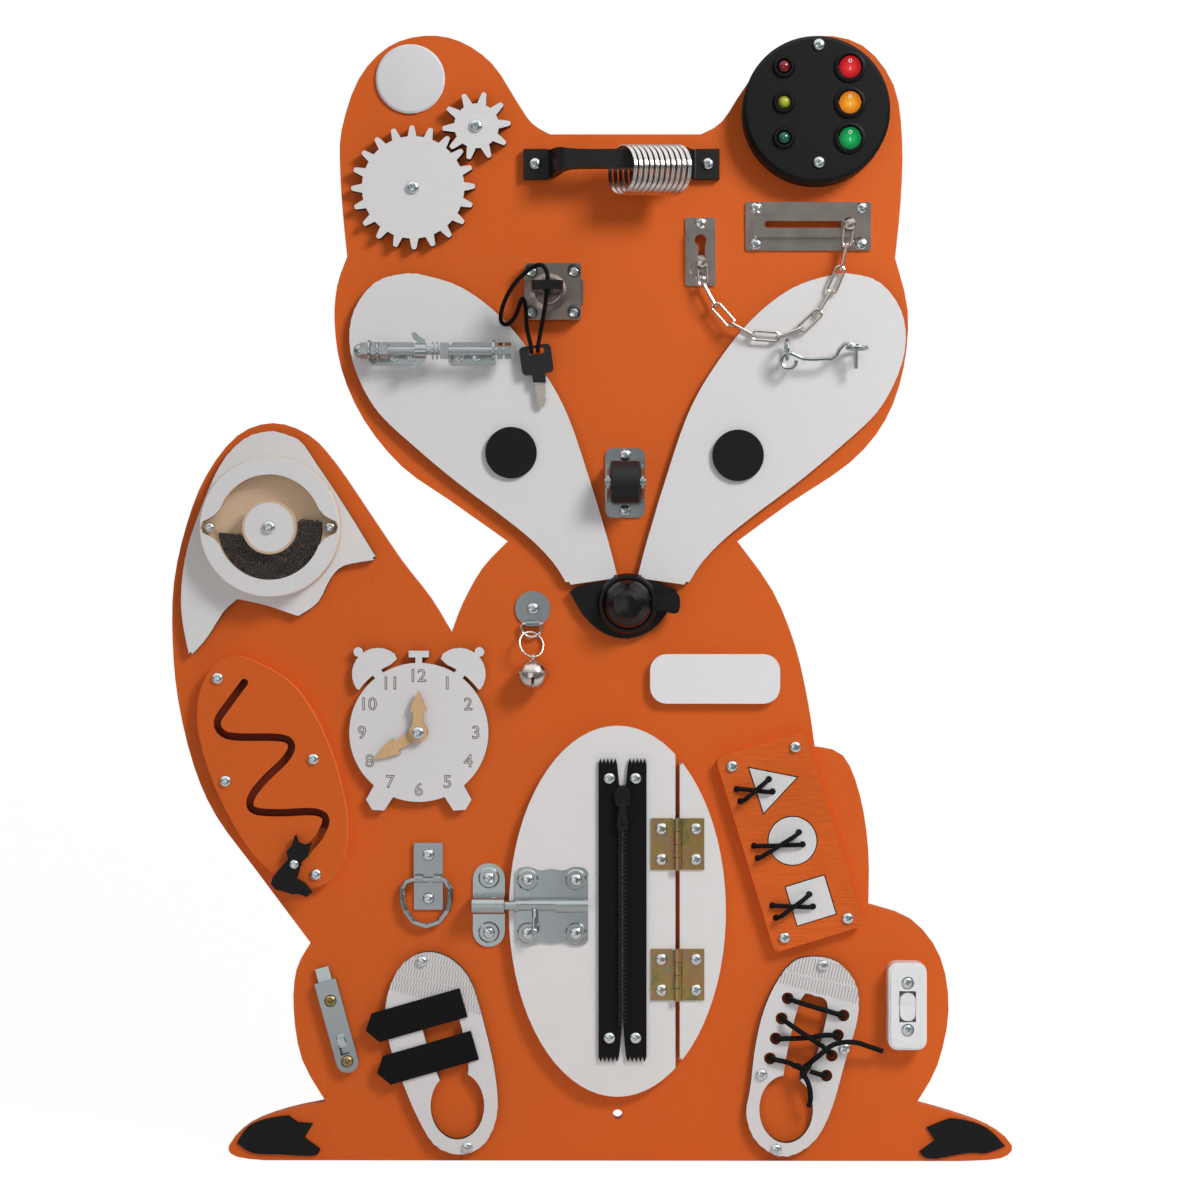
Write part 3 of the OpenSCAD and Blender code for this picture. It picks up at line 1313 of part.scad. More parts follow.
module dished_boss(p, base) {
  turned(p[0], p[1], base) polygon([[hole_r, 0], [7.6, 0], [6.4, 1], [hole_r, 1]]);
}

module frame_fittings() {
  arch_r = slide_bolt_r + 1 + 1.5;
  color("#B49A55") {
    for (z = butt_z) {
      butt_leaf(z, 1, 1);
      rod_z(door_gap_x, z - butt_l / 2 - 0.6, z + butt_l / 2 + 0.6, butt_lift, butt_pin_r);
    }
  }
  color(zinc)
    difference() {
      union() {
        layer(0, sheet_t) translate(bolt_keeper_at)
          polygon(rounded(bolt_keeper_size[0], bolt_keeper_size[1], 11));
        side(bolt_keeper_at[0] - bolt_keeper_size[0] / 2, bolt_keeper_at[0] + bolt_keeper_size[0] / 2)
          union() {
            translate([bolt_z, bolt_lift]) circle(arch_r);
            translate([bolt_z - arch_r, 0]) square([2 * arch_r, bolt_lift]);
          }
        for (p = bolt_keeper_screws)
          dished_boss(p, sheet_t);
      }
      side(bolt_keeper_at[0] - 20, bolt_keeper_at[0] + 20) union() {
        translate([bolt_z, bolt_lift]) circle(arch_r - 1.5);
        translate([bolt_z - arch_r + 1.5, sheet_t]) square([2 * arch_r - 3, bolt_lift - sheet_t]);
      }
      for (p = bolt_keeper_screws)
        rod_y(p[0], p[1], -1, 10, hole_r);
    }
}

module door_fittings() {
  tube_r = slide_bolt_r + 0.1 + 1.3;
  mid = (bolt_case_x[0] + bolt_case_x[1]) / 2;
  wave = concat(run([[bolt_case_x[0], 24], [bolt_case_x[0] + 3, 27], [bolt_case_x[0] + 10, 27.8],
    [mid - 8, 25.4],
    [mid, 26.4], [mid + 8, 25.4], [bolt_case_x[1] - 10, 27.8], [bolt_case_x[1] - 3, 27], [bolt_case_x[1],
      24]]),
    [[bolt_case_x[1], 24]]);
  color("#B49A55")
    for (z = butt_z)
      butt_leaf(z, -1, 0);
  color(zinc) {
    difference() {
      union() {
        layer(belly_t, sheet_t) translate([0, bolt_z - 1])
          polygon(concat(wave, [for (i = [len(wave) - 1:-1:0]) [wave[i][0], -wave[i][1]]]));
        side(bolt_case_x[0], bolt_case_x[1]) union() {
          translate([bolt_z, bolt_lift]) circle(tube_r);
          translate([bolt_z - tube_r, belly_t + 0.5])
            square([2 * tube_r, bolt_lift - belly_t - 0.5]);
        }
        for (p = bolt_case_screws)
          dished_boss(p, belly_t + sheet_t);
      }
      rod_x(bolt_case_x[0] - 5, bolt_case_x[1] + 5, bolt_z, bolt_lift, slide_bolt_r + run_fit);
      block(-57.3, bolt_z - 2.8, bolt_lift - 1, [26.4, 9, 12]);
      for (p = bolt_case_screws)
        rod_y(p[0], p[1], belly_t - 1, 10, hole_r);
    }
    for (p = bolt_case_screws)
      door_screw(p);
    for (p = zip_screws)
      door_screw(p);
    for (p = butt_screws)
      if (p[0] < door_gap_x)
        door_screw(p);
  }
}

// A short screw that stays inside the door.
module door_screw(p) {
  turned(p[0], p[1], p[2])
    polygon([[0, 1 - p[2]], [shank_r, 1 - p[2]], [shank_r, 0], [head_r, 0], [head_r, head_h * 0.3],
      [head_r * 0.86, head_h * 0.66], [head_r * 0.55, head_h * 0.92], [0, head_h]]);
}

bolt_lever_x = -58.6;

module slide_bolt() {
  color(zinc)
    union() {
      rod_x(-79.6, -34, bolt_z, bolt_lift, slide_bolt_r);
      wire([at(bolt_lever_x, bolt_z, bolt_lift), at(bolt_lever_x, bolt_z - 4, bolt_lift + 3.4),
        at(bolt_lever_x, bolt_z - 8, bolt_lift + 4.6), at(bolt_lever_x, bolt_z - 17, bolt_lift + 5)],
          1.9, undef, 12);
      translate(at(bolt_lever_x, bolt_z - 17.4, bolt_lift + 5)) sphere(r = 3.1);
    }
}

zip_gap = 0.9;
tooth_w = 2.6;
tooth_h = 1.9;
tooth_step = 2.9;

function pinked(x0, x1, z, up) = let (n = 5, w = (x1 - x0) / n)
  [for (i = [0:n]) each (i < n ? [[x0 + i * w, z], [x0 + (i + 0.5) * w, z + up]] : [[x1, z]])];

module zipper_half(s) {
  // the tape, open in a V above the slider, with pinked ends
  inner = zip_gap / 2;
  outer = zip_w / 2;
  layer(zip_lift, zip_tape_t) difference() {
    translate([zip_x, 0])
      polygon([for (p = concat([[outer, zip_z[1] - 5]],
        [for (q = pinked(-outer, -inner - 3.4, zip_z[1] - 4, 4)) [-q[0], q[1]]],
        [[inner + 1.2, 229], [inner, 218], [inner, 66], [inner + 1, 52]],
        [for (q = pinked(inner + 2, outer, zip_z[0] + 4, -4)) q])) [s * p[0], p[1]]]);
    drill(zip_screws);
  }
  // the teeth of one side, as a comb
  root = inner + 1.5;
  comb = concat([for (z = [66.5:tooth_step:214]) each [[inner + 0.1, z], [inner + 0.1, z + 2], [root, z + 2.2],
    [root, z + tooth_step - 0.2]]], [[root, 217], [inner + tooth_w, 217], [inner + tooth_w, 66.5]]);
  layer(zip_lift + zip_tape_t - 0.3, tooth_h + 0.3) translate([zip_x, 0])
    polygon([for (p = comb) [s * p[0], p[1]]]);
}

module zipper_tape() {
  color(black)
    for (s = [-1, 1])
      zipper_half(s);
}

module zipper_slider() {
  z = 226;
  w = 2 * (zip_gap / 2 + tooth_w) + 1;
  top = zip_lift + zip_tape_t + tooth_h + soft_gap;
  outline = [[-w / 2 - 1, -6], [w / 2 + 1, -6], [w / 2 + 2.4, 4], [2.4, 8.4], [-2.4, 8.4], [-w / 2 - 2.4,
    4]];
  color(black) {
    layer(top, 1.2) translate([zip_x, z]) polygon(outline);
    layer(belly_t + 0.25, 1.1) translate([zip_x, z]) polygon(outline);
    for (s = [-1, 1])
      layer(zip_lift + zip_tape_t + 0.3, tooth_h + 0.2) translate([zip_x, z])
        polygon([[s * w / 2, -6], [s * (w / 2 + 1), -6], [s * (w / 2 + 2.4), 4], [s * (w / 2 + 1.4), 4]]);
    block(zip_x, z, belly_t + 1.2, [0.5, 11, top - belly_t - 1]);
    block(zip_x, z + 1, top + 1.2, [1.6, 7, 2.4]);
    difference() {
      layer(top + 1.7, 1.2) translate([zip_x, z])
        polygon([[-2.2, 3], [2.2, 3], [2.4, -8], [4, -18], [3, -23], [-3, -23], [-4, -18], [-2.4, -8]]);
      block(zip_x, z + 0.2, top, [1.8, 3.4, 8]);
      rod_y(zip_x, z - 18.5, top, 9, 1.4);
    }
  }
}

// ---- lacing plate -------------------------------------------------------------------------------------

shape_at = [[0, 42.5], [2, 0.5], [2, -43.6]];
triangle = [[-13, 17.5], [19.5, 0], [-12.5, -18.5]];
circle_r = 17.7;
square_w = 29.9;
cord_pair = 4.5;
cord_r = 1.6;
cord_hole_r = 2.3;
plate_hole_x = -25;
shape_hole_x = [-1.3, 8, 2.2];

module lean() {
  translate(lacing_at) rotate(lacing_lean) children();
}

function shrink(p, c, d) = [for (q = p) c + (q - c) * (1 - d / norm(q - c))];

module lacing_plate() {
  color(orange)
    layer(0, lacing_t) lean() difference() {
      polygon(rounded(lacing_size[0], lacing_size[1], 4.5));
      translate(shape_at[0]) polygon(triangle);
      translate(shape_at[1]) circle(circle_r);
      translate(shape_at[2]) square(square_w, center = true);
      for (c = shape_at, s = [-1, 1])
        translate([plate_hole_x, c[1] + s * cord_pair]) circle(cord_hole_r);
      for (s = [-1, 1], t = [-1, 1])
        translate([s * 23.3, t * 63.3]) circle(hole_r);
    }
}

module shape_piece(i) {
  color(white)
    layer(0.2, lacing_t) lean() difference() {
      translate(shape_at[i]) children();
      for (s = [-1, 1])
        translate([shape_hole_x[i], shape_at[i][1] + s * cord_pair]) circle(cord_hole_r);
    }
}

module triangle_shape() {
  shape_piece(0)
    polygon(shrink(triangle, [-2, -0.3], 2 * insert_gap));
}

module circle_shape() {
  shape_piece(1)
    circle(circle_r - insert_gap);
}

module square_shape() {
  shape_piece(2)
    square(square_w - 2 * insert_gap, center = true);
}

// One strand from a hole of the plate across to a hole of the shape.
function strand(i, s, top) = let (z = shape_at[i][1], a = plate_hole_x, b = shape_hole_x[i])
  [[a, z + s * cord_pair, -3], [a + 0.4, z + s * cord_pair, 1.6], [a + 4, z + s * 3.4, top],
    [(a + b) / 2, z, top + 0.4], [b - 4, z - s * 3.4, top], [b - 0.4, z - s * cord_pair, 1.6],
    [b, z - s * cord_pair, -3]];

module lacing_cords() {
  color(black)
    for (i = [0:2], s = [-1, 1]) {
      path = [for (p = strand(i, s, s > 0 ? 2.6 : 7)) let (q = lacing_at + turn([p[0], p[1]], lacing_lean))
        at(q[0], q[1], lacing_t + p[2])];
      wire(path, cord_r);
    }
}

// ---- shoes --------------------------------------------------------------------------------------------

strap_t = 1.8;
strap_slope = 16;
strap_ends = [[-109, 80.7], [-101, 50.6]];
strap_lift = panel_t + 0.3;

module strap(p) {
  color(black)
    layer(strap_lift, strap_t) translate(p) rotate(strap_slope)
      polygon([[0, -strap_w / 2], [0, strap_w / 2], [-strap_l + 7, strap_w / 2], [-strap_l, 0],
        [-strap_l + 7, -strap_w / 2]]);
}

module upper_strap() {
  strap(strap_ends[0]);
}

module lower_strap() {
  strap(strap_ends[1]);
}

lace_r = 1.8;
lace_paths = [
  [[120.3, 83.5, -4], [121, 83.4, 1.6], [128, 81, 2.6], [140, 77.4, 2.8], [152, 73.8, 2.6], [159, 71.6, 1.6],
    [159.8, 71.4, -4]],
  [[116, 69.3, -4], [116.8, 69, 1.6], [122, 65.6, 6.4], [133, 58.2, 7], [145, 50, 4], [150.6, 44.6, 1.6],
    [151.5, 43, -4]],
  [[155.8, 57.5, -4], [155, 57.5, 1.6], [146, 57.8, 2.6], [134, 56, 2.6], [120, 55.4, 2.6], [112.8, 55.1,
    1.6],
    [111.8, 55.1, -4]],
  [[107.8, 41, -4], [108.6, 41, 1.6], [114, 40, 2.6], [121, 38.4, 2.8], [126, 35.6, 3]],
  [[147.7, 28.8, -4], [146.9, 29, 1.6], [142, 30.4, 2.6], [136, 32.4, 3]],
  [[134, 37, 4], [141, 44, 9], [152, 52.6, 10.4], [166, 54, 9], [178, 50, 5], [187, 46.6, 2.6]],
  [[131, 31, 5], [134.5, 24, 8], [136, 15, 7], [135, 8, 3]]];

module shoe_lace() {
  color(black) {
    for (p = lace_paths)
      wire([for (q = p) at(q[0], q[1], panel_t + q[2])], lace_r);
    translate(at(130.6, 34.4, panel_t + 5.2)) sphere(r = 4.4);
  }
}

// ---- flush bolt and switch ----------------------------------------------------------------------------

flush_l = 67;
flush_h = 6;
tongue_w = 9.6;
tongue_t = 3;
tongue_out = 9.6;

module flush_plan() {
  translate(flush_at) rotate(flush_lean) children();
}

module flush_bolt_case() {
  r = flush_w / 2;
  color(zinc)
    difference() {
      layer(0, flush_h) flush_plan() union() {
        translate([-r, -flush_l / 2 + r]) square([flush_w, flush_l - r]);
        translate([0, -flush_l / 2 + r]) circle(r);
      }
      layer(1, tongue_t + 2 * fit) flush_plan() translate([-tongue_w / 2 - fit, -23])
        square([tongue_w + 2 * fit, flush_l]);
      layer(1, 9) flush_plan() translate([-3, -20.5]) square([6, 15]);
      for (p = flush_screws) {
        rod_y(p[0], p[1], -1, 12, hole_r);
        rod_y(p[0], p[1], flush_seat, 12, head_r + 0.3);
      }
    }
}

module flush_bolt_slider() {
  color(zinc)
    union() {
      layer(1 + fit, tongue_t) flush_plan() difference() {
        translate([-tongue_w / 2, -15]) square([tongue_w, flush_l / 2 + 15 + tongue_out]);
        translate([-2.6, flush_screw_y[0] - 5]) square([5.2, 15.4]);
      }
      layer(1 + fit + tongue_t, flush_h - tongue_t + 1) flush_plan() translate([-2.6, -12.5])
        square([5.2, 4]);
    }
}

rocker_size = [11, 21];

module switch_case() {
  d = switch_h;
  color(white)
    difference() {
      union() {
        layer(0, d - 2) translate(switch_at) polygon(rounded(switch_size[0], switch_size[1], 6.8));
        layer(d - 2, 1.2) translate(switch_at)
          polygon(rounded(switch_size[0] - 1.2, switch_size[1] - 1.2, 6.4));
        layer(d - 0.8, 0.8) translate(switch_at)
          polygon(rounded(switch_size[0] - 3.4, switch_size[1] - 3.4, 5.6));
      }
      block(switch_at[0], switch_at[1], 3, [rocker_size[0] + 0.8, rocker_size[1] + 1, 20]);
      for (p = switch_screws) {
        rod_y(p[0], p[1], -1, 20, hole_r);
        rod_y(p[0], p[1], d - 3, 20, head_r + 0.4);
      }
    }
}

module switch_rocker() {
  color(white)
    translate(at(switch_at[0], switch_at[1], switch_h - 1)) rotate([6, 0, 0]) union() {
      intersection() {
        rotate([90, 0, 0]) translate([0, 0, -5]) linear_extrude(12)
          polygon(rounded(rocker_size[0], rocker_size[1] - 1.4, 5));
        translate([-10, 0, 0]) rotate([90, 0, 90]) linear_extrude(20)
          polygon([[2.5, -6], [4.6, 0], [2.5, 6], [0.5, 10], [-2.6, 10.5], [-1.4, 0],
            [-2.6, -10.5], [0.5, -10]]);
      }
      translate([-rocker_size[0] / 2 - 0.25, 0, 0]) rotate([0, 90, 0])
        cylinder(h = rocker_size[0] + 0.5, r = 1.2);
    }
}

board();
white_panels();
black_panels();
board_screws();
large_gear();
small_gear();
pull_handle();
key_rings();
light_box();
lamp_lenses();
rocker_red();
rocker_amber();
rocker_green();
chain_plates();
chain_slider();
chain_links();
lock_case();
lock_latch();
lock_key();
spare_key();
key_cord();
brackets_and_eyes();
threaded_bolt();
wing_nut();
gate_hook();
roller_frame();
roller_wheel();
bell_base();
bell_dome();
bell_lever();
drum_case();
drum_window();
drum_seeds();
clock_body();
hour_hand();
minute_hand();
maze_plate();
maze_slider();
ring_anchors();
jingle_ring();
jingle_bell();
belly_door();
frame_fittings();
door_fittings();
slide_bolt();
zipper_tape();
zipper_slider();
lashing_ring();
lacing_plate();
triangle_shape();
circle_shape();
square_shape();
lacing_cords();
upper_strap();
lower_strap();
shoe_lace();
flush_bolt_case();
flush_bolt_slider();
switch_case();
switch_rocker();
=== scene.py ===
"""Looks of the fox-shaped wooden busy board: paint, plating, webbing, cords, numerals and small parts.

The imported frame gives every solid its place. Each sub-assembly below is a class that holds its sizes, builds its
own meshes and dresses the solids it covers. Lengths named *_mm are in millimetres; meshes are in metres.
"""

from __future__ import annotations

import logging
import math
from dataclasses import dataclass, field
from enum import Enum
from typing import Any, Callable, ClassVar, Iterable, Optional, Sequence

import bmesh
import bpy
from mathutils import Matrix, Vector
from mathutils.bvhtree import BVHTree


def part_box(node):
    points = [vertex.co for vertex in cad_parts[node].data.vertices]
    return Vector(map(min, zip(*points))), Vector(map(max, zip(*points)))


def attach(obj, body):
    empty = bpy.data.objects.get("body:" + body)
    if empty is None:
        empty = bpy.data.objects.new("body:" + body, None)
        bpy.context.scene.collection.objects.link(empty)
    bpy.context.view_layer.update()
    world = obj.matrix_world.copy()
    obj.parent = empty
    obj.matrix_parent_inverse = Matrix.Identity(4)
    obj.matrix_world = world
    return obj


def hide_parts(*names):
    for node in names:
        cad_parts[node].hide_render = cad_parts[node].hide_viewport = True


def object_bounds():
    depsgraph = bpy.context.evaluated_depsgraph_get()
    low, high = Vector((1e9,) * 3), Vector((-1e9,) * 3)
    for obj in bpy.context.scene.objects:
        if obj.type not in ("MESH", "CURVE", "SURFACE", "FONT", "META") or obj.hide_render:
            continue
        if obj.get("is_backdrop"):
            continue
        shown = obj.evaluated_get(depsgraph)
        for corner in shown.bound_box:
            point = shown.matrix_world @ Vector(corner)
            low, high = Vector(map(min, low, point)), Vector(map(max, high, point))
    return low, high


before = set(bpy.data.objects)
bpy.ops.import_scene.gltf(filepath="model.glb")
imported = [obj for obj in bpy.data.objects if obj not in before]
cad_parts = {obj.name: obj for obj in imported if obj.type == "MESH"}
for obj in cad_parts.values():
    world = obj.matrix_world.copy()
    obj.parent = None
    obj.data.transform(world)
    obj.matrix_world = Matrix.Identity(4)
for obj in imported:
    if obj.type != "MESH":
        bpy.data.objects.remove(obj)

log = logging.getLogger("busy_board")
MM = 0.001
BOARD_T = 12.0

DRUM_AT_MM = (-244.6, 416.5)

Colour = tuple[float, float, float]
Pair = tuple[float, float]
Triple = tuple[float, float, float]
Spot = tuple[Vector, float, Triple]
AHEAD: Triple = (0.0, 0.0, 0.0)


class Body(str, Enum):
    """The bodies that the pieces made here ride on."""

    BOARD = "fox_board"
    DRUM = "drum"
    DOOR = "belly_door"
    MAZE = "maze_slider"
    BOLT = "threaded_bolt"
    RED = "rocker_red"
    AMBER = "rocker_amber"
    GREEN = "rocker_green"
    UPPER_STRAP = "upper_strap"
    LOWER_STRAP = "lower_strap"


class Grain(Enum):
    """Which way a painted face was brushed or its wood runs, as a stretch of the noise along x, y and z."""

    UPRIGHT = (1.0, 1.0, 0.06)
    LEVEL = (0.05, 1.0, 1.0)
    NONE = (1.0, 1.0, 1.0)


def tint(code: str) -> Colour:
    """Turns a hex colour into linear light.

    Args:
        code: the colour as "#RRGGBB".

    Returns:
        The three linear channels.
    """
    parts = [int(code[i : i + 2], 16) / 255 for i in (1, 3, 5)]
    r, g, b = (v / 12.92 if v <= 0.04045 else ((v + 0.055) / 1.055) ** 2.4 for v in parts)
    return (r, g, b)


def shade(colour: Colour, factor: float) -> Colour:
    """The colour made lighter or darker by a factor, at most white."""
    r, g, b = (min(1.0, channel * factor) for channel in colour)
    return (r, g, b)


def at(x_mm: float, z_mm: float, lift_mm: float) -> Vector:
    """The place x, z and lift in front of the board's face, in metres."""
    return Vector((x_mm, -BOARD_T - lift_mm, z_mm)) * MM


# ---- shader maths ------------------------------------------------------------------------------------------


def _operator(operation: str, flipped: bool = False) -> Callable[..., "Sock"]:
    """Makes a method of Sock.

    Args:
        operation: the Math node's operation.
        flipped: whether the other value comes first, as in 1 - mask.

    Returns:
        The method, which adds one Math node.
    """

    def method(self: "Sock", *others: Any) -> "Sock":
        """The result of the Math node on self and the others."""
        values = (*others, self) if flipped else (self, *others)
        return self.tree.node("ShaderNodeMath", {"operation": operation}, dict(enumerate(values)))

    return method


class Sock:
    """A node's output socket that takes part in Python expressions."""

    def __init__(self, tree: "Tree", socket: Any) -> None:
        """Keeps the tree and the Blender socket."""
        self.tree = tree
        self.socket = socket

    __add__, __radd__ = _operator("ADD"), _operator("ADD", True)
    __sub__, __rsub__ = _operator("SUBTRACT"), _operator("SUBTRACT", True)
    __mul__, __rmul__ = _operator("MULTIPLY"), _operator("MULTIPLY", True)
    __truediv__, __pow__ = _operator("DIVIDE"), _operator("POWER")
    __abs__ = _operator("ABSOLUTE")
    sine, root, most = _operator("SINE"), _operator("SQRT"), _operator("MAXIMUM")
    part, whole = _operator("FRACT"), _operator("FLOOR")

    def ramp(self, low: float, high: float) -> "Sock":
        """0 below low, 1 above high and smooth between them."""
        ends = {"Value": self, "From Min": low, "From Max": high, "To Min": 0.0, "To Max": 1.0}
        return self.tree.node("ShaderNodeMapRange", {"interpolation_type": "SMOOTHSTEP"}, ends)


class Tree:
    """Adds nodes to one node tree."""

    def __init__(self, nodes: bpy.types.NodeTree) -> None:
        """Keeps the tree."""
        self.nodes = nodes

    def raw(self, kind: str, settings: Optional[dict[str, Any]] = None, values: Optional[dict[Any, Any]] = None) -> Any:
        """Adds one node.

        Args:
            kind: the node's type.
            settings: its properties, set first; "stops" gives a ramp's (place, colour) pairs.
            values: numbers, colours or Socks for its inputs, by name or index.

        Returns:
            The Blender node.
        """
        node = self.nodes.nodes.new(kind)
        for key, value in (settings or {}).items():
            if key == "stops":
                while len(node.color_ramp.elements) < len(value):
                    node.color_ramp.elements.new(0.5)
                for element, (place, colour) in zip(node.color_ramp.elements, value):
                    element.position = place
                    element.color = (*colour, 1.0)
            else:
                setattr(node, key, value)
        for key, value in (values or {}).items():
            socket = node.inputs[key]
            if isinstance(value, Sock):
                self.nodes.links.new(value.socket, socket)
            elif socket.type == "RGBA" and len(value) == 3:
                socket.default_value = (*value, 1.0)
            else:
                socket.default_value = value
        return node

    def node(
        self,
        kind: str,
        settings: Optional[dict[str, Any]] = None,
        values: Optional[dict[Any, Any]] = None,
        output: int | str = 0,
    ) -> Sock:
        """Adds one node and returns the named output as a Sock."""
        return Sock(self, self.raw(kind, settings, values).outputs[output])

    def split(self, vector: Sock) -> tuple[Sock, Sock, Sock]:
        """The three parts of a vector."""
        x, y, z = (Sock(self, part) for part in self.raw("ShaderNodeSeparateXYZ", None, {0: vector}).outputs)
        return x, y, z

    def unlit_rays(self) -> Sock:
        """1 for rays that show the background itself: straight from the camera or through clear sheet."""
        rays = self.raw("ShaderNodeLightPath").outputs
        return Sock(self, rays["Is Camera Ray"]).most(Sock(self, rays["Is Transmission Ray"]))


class Maker(Tree):
    """Builds the node tree of one material."""

    def __init__(self, name: str) -> None:
        """Starts an empty material of that name."""
        self.material = bpy.data.materials.new(name)
        self.material.use_nodes = True
        super().__init__(self.material.node_tree)
        self.nodes.nodes.clear()
        self._coords: Optional[Any] = None

    def coords(self, output: str) -> Sock:
        """The Object, Normal or UV output of one shared Texture Coordinate node."""
        if self._coords is None:
            self._coords = self.raw("ShaderNodeTexCoord")
        return Sock(self, self._coords.outputs[output])

    def place(self) -> tuple[Sock, Sock]:
        """The x and z of the surface in millimetres."""
        x, _, z = self.split(self.coords("Object"))
        return x * 1000, z * 1000

    def reach(self, centre: Pair) -> Sock:
        """How far the surface lies from a line through the centre, square to the board, in millimetres."""
        x, z = self.place()
        dx, dz = x - centre[0], z - centre[1]
        return (dx * dx + dz * dz).root()

    def lift(self) -> Sock:
        """How far the surface stands in front of the board's face, in millimetres."""
        return self.split(self.coords("Object"))[1] * -1000 - BOARD_T

    def facing(self) -> Sock:
        """1 on faces that look forward or back and 0 on edges."""
        return abs(self.split(self.coords("Normal"))[1]).ramp(0.55, 0.85)

    def noise(self, scale: float, detail: float = 3.0, stretch: Sequence[float] = (1, 1, 1)) -> Sock:
        """Fractal noise of that many cells a metre, stretched along the axes."""
        vector = self.node("ShaderNodeMapping", None, {"Vector": self.coords("Object"), "Scale": tuple(stretch)})
        values = {"Vector": vector, "Scale": scale, "Detail": detail, "Roughness": 0.55}
        return self.node("ShaderNodeTexNoise", None, values)

    def blend(self, factor: Any, low: Any, high: Any) -> Sock:
        """A colour between low and high."""
        return self.node("ShaderNodeMix", {"data_type": "RGBA"}, {0: factor, 6: low, 7: high}, 2)

    def bump(self, height: Sock, depth_mm: float, before: Optional[Sock] = None) -> Sock:
        """A normal bent by height, which stands depth_mm tall at 1."""
        values: dict[Any, Any] = {"Height": height, "Strength": 1.0, "Distance": depth_mm * MM}
        if before is not None:
            values["Normal"] = before
        return self.node("ShaderNodeBump", None, values)

    def finish(self, colour: Sock, roughness: Any, normal: Optional[Sock], **others: Any) -> bpy.types.Material:
        """Ends the tree in a Principled shader and returns the material.

        Args:
            colour: its Base Color.
            roughness: its Roughness.
            normal: its Normal, or None for the surface's own.
            others: its other inputs, with _ for the spaces in their names.

        Returns:
            The material.
        """
        values = {"Base Color": colour, "Roughness": roughness}
        values |= {name.replace("_", " "): value for name, value in others.items()}
        if normal is not None:
            values["Normal"] = normal
        self.raw("ShaderNodeOutputMaterial", None, {"Surface": self.node("ShaderNodeBsdfPrincipled", None, values)})
        return self.material


# ---- finishes ----------------------------------------------------------------------------------------------


@dataclass(frozen=True)
class Paint:
    """Brushed paint on plywood, with bare or burnt edges where it has them."""

    name: str
    colour: Colour
    edge: Optional[Colour] = None
    grain: Grain = Grain.UPRIGHT
    relief: float = 0.12
    roughness: float = 0.55
    fleck: float = 0.05

    def make(self) -> bpy.types.Material:
        """Builds the material."""
        m = Maker(self.name)
        streak, grit = self._streak(m), m.noise(2600, 2)
        tone = streak * 0.5 + m.noise(7, 2) * 0.5
        dark, light = shade(self.colour, 1 - self.fleck * 1.6), shade(self.colour, 1 + self.fleck)
        face = m.blend(tone.ramp(0.3, 0.7), dark, light)
        colour = face if self.edge is None else m.blend(m.facing(), self._edge(m), face)
        normal = m.bump(streak * 0.75 + grit * 0.25, self.relief)
        return self._finish(m, colour, self.roughness + (streak - 0.5) * 0.16, normal)

    def _streak(self, m: Maker) -> Sock:
        """The marks of the brush, or the grain under the paint."""
        return m.noise(900, 4, self.grain.value)

    def _face(self, m: Maker, streak: Sock) -> Sock:
        """An even coat that is a little darker along its streaks."""
        return m.blend(streak.ramp(0.3, 0.7), shade(self.colour, 0.975), self.colour)

    def _edge(self, m: Maker) -> Sock:
        """The colour of the cut edge, with the plies as faint bands."""
        assert self.edge is not None
        bands = (m.lift() * 1.35).part().ramp(0.25, 0.75)
        return m.blend(bands, shade(self.edge, 0.75), shade(self.edge, 1.15))

    @staticmethod
    def _finish(m: Maker, colour: Sock, roughness: Any, normal: Sock) -> bpy.types.Material:
        """Ends the tree with the low shine of paint."""
        return m.finish(colour, roughness, normal, Specular_IOR_Level=0.18)


@dataclass(frozen=True)
class ToePaint(Paint):
    """White shoe paint with short cuts scored across the toe, above a line through the shoe."""

    toe: Triple = (-137.0, 83.0, 0.0)
    pitch_mm: float = 2.1
    row_mm: float = 6.4

    def make(self) -> bpy.types.Material:
        """Builds the material."""
        m = Maker(self.name)
        x, z = m.place()
        u = x * 0.975 - z * 0.22
        v = z * 0.975 + x * 0.22
        row = (v / self.row_mm).whole()
        comb = (u / self.pitch_mm + row * 0.5).part()
        cut = (1 - abs(comb - 0.5).ramp(0.08, 0.2)) * abs((v / self.row_mm).part() - 0.5).ramp(0.5, 0.42)
        above = (z + (x - self.toe[0]) * self.toe[2]).ramp(self.toe[1], self.toe[1] + 0.8)
        scored = cut * above * m.facing()
        streak = self._streak(m)
        face = m.blend(scored * 0.42, self._face(m, streak), tint("#8C7F74"))
        normal = m.bump(1 - scored, 0.5, m.bump(streak, self.relief))
        return self._finish(m, m.blend(m.facing(), self._edge(m), face), self.roughness, normal)


@dataclass(frozen=True)
class GroovedPaint(Paint):
    """The maze plate's paint, with a painted highlight on the rounded edge and painted shade down in the groove."""

    top_mm: float = 9.0
    middle_mm: Pair = (-246.5, 241.0)
    half_mm: Pair = (44.0, 88.0)

    def make(self) -> bpy.types.Material:
        """Builds the material."""
        m = Maker(self.name)
        streak = self._streak(m)
        # Painted shade: this mask, with the dark red-brown below, darkens the floor of the groove where shade falls.
        deep = 1 - m.lift().ramp(self.top_mm - 3.2, self.top_mm - 0.4)
        # Painted highlight: the rounded edges, which face sideways, are painted a lighter orange.
        colour = m.blend(m.facing(), (0.9, 0.24, 0.06), self._face(m, streak))
        colour = m.blend(deep * self._inside(*m.place()), colour, tint("#7A2A0C"))
        return self._finish(m, colour, self.roughness, m.bump(streak, self.relief))

    def _inside(self, x: Sock, z: Sock) -> Sock:
        """1 well inside the plate's oval outline, where only the groove is deep."""
        dx, dz = x - self.middle_mm[0], z - self.middle_mm[1]
        u = dx * 0.89 + dz * 0.455
        v = dz * 0.89 - dx * 0.455
        reach = ((u / self.half_mm[0]) ** 2 + (v / self.half_mm[1]) ** 2).root()
        return 1 - reach.ramp(0.86, 0.93)


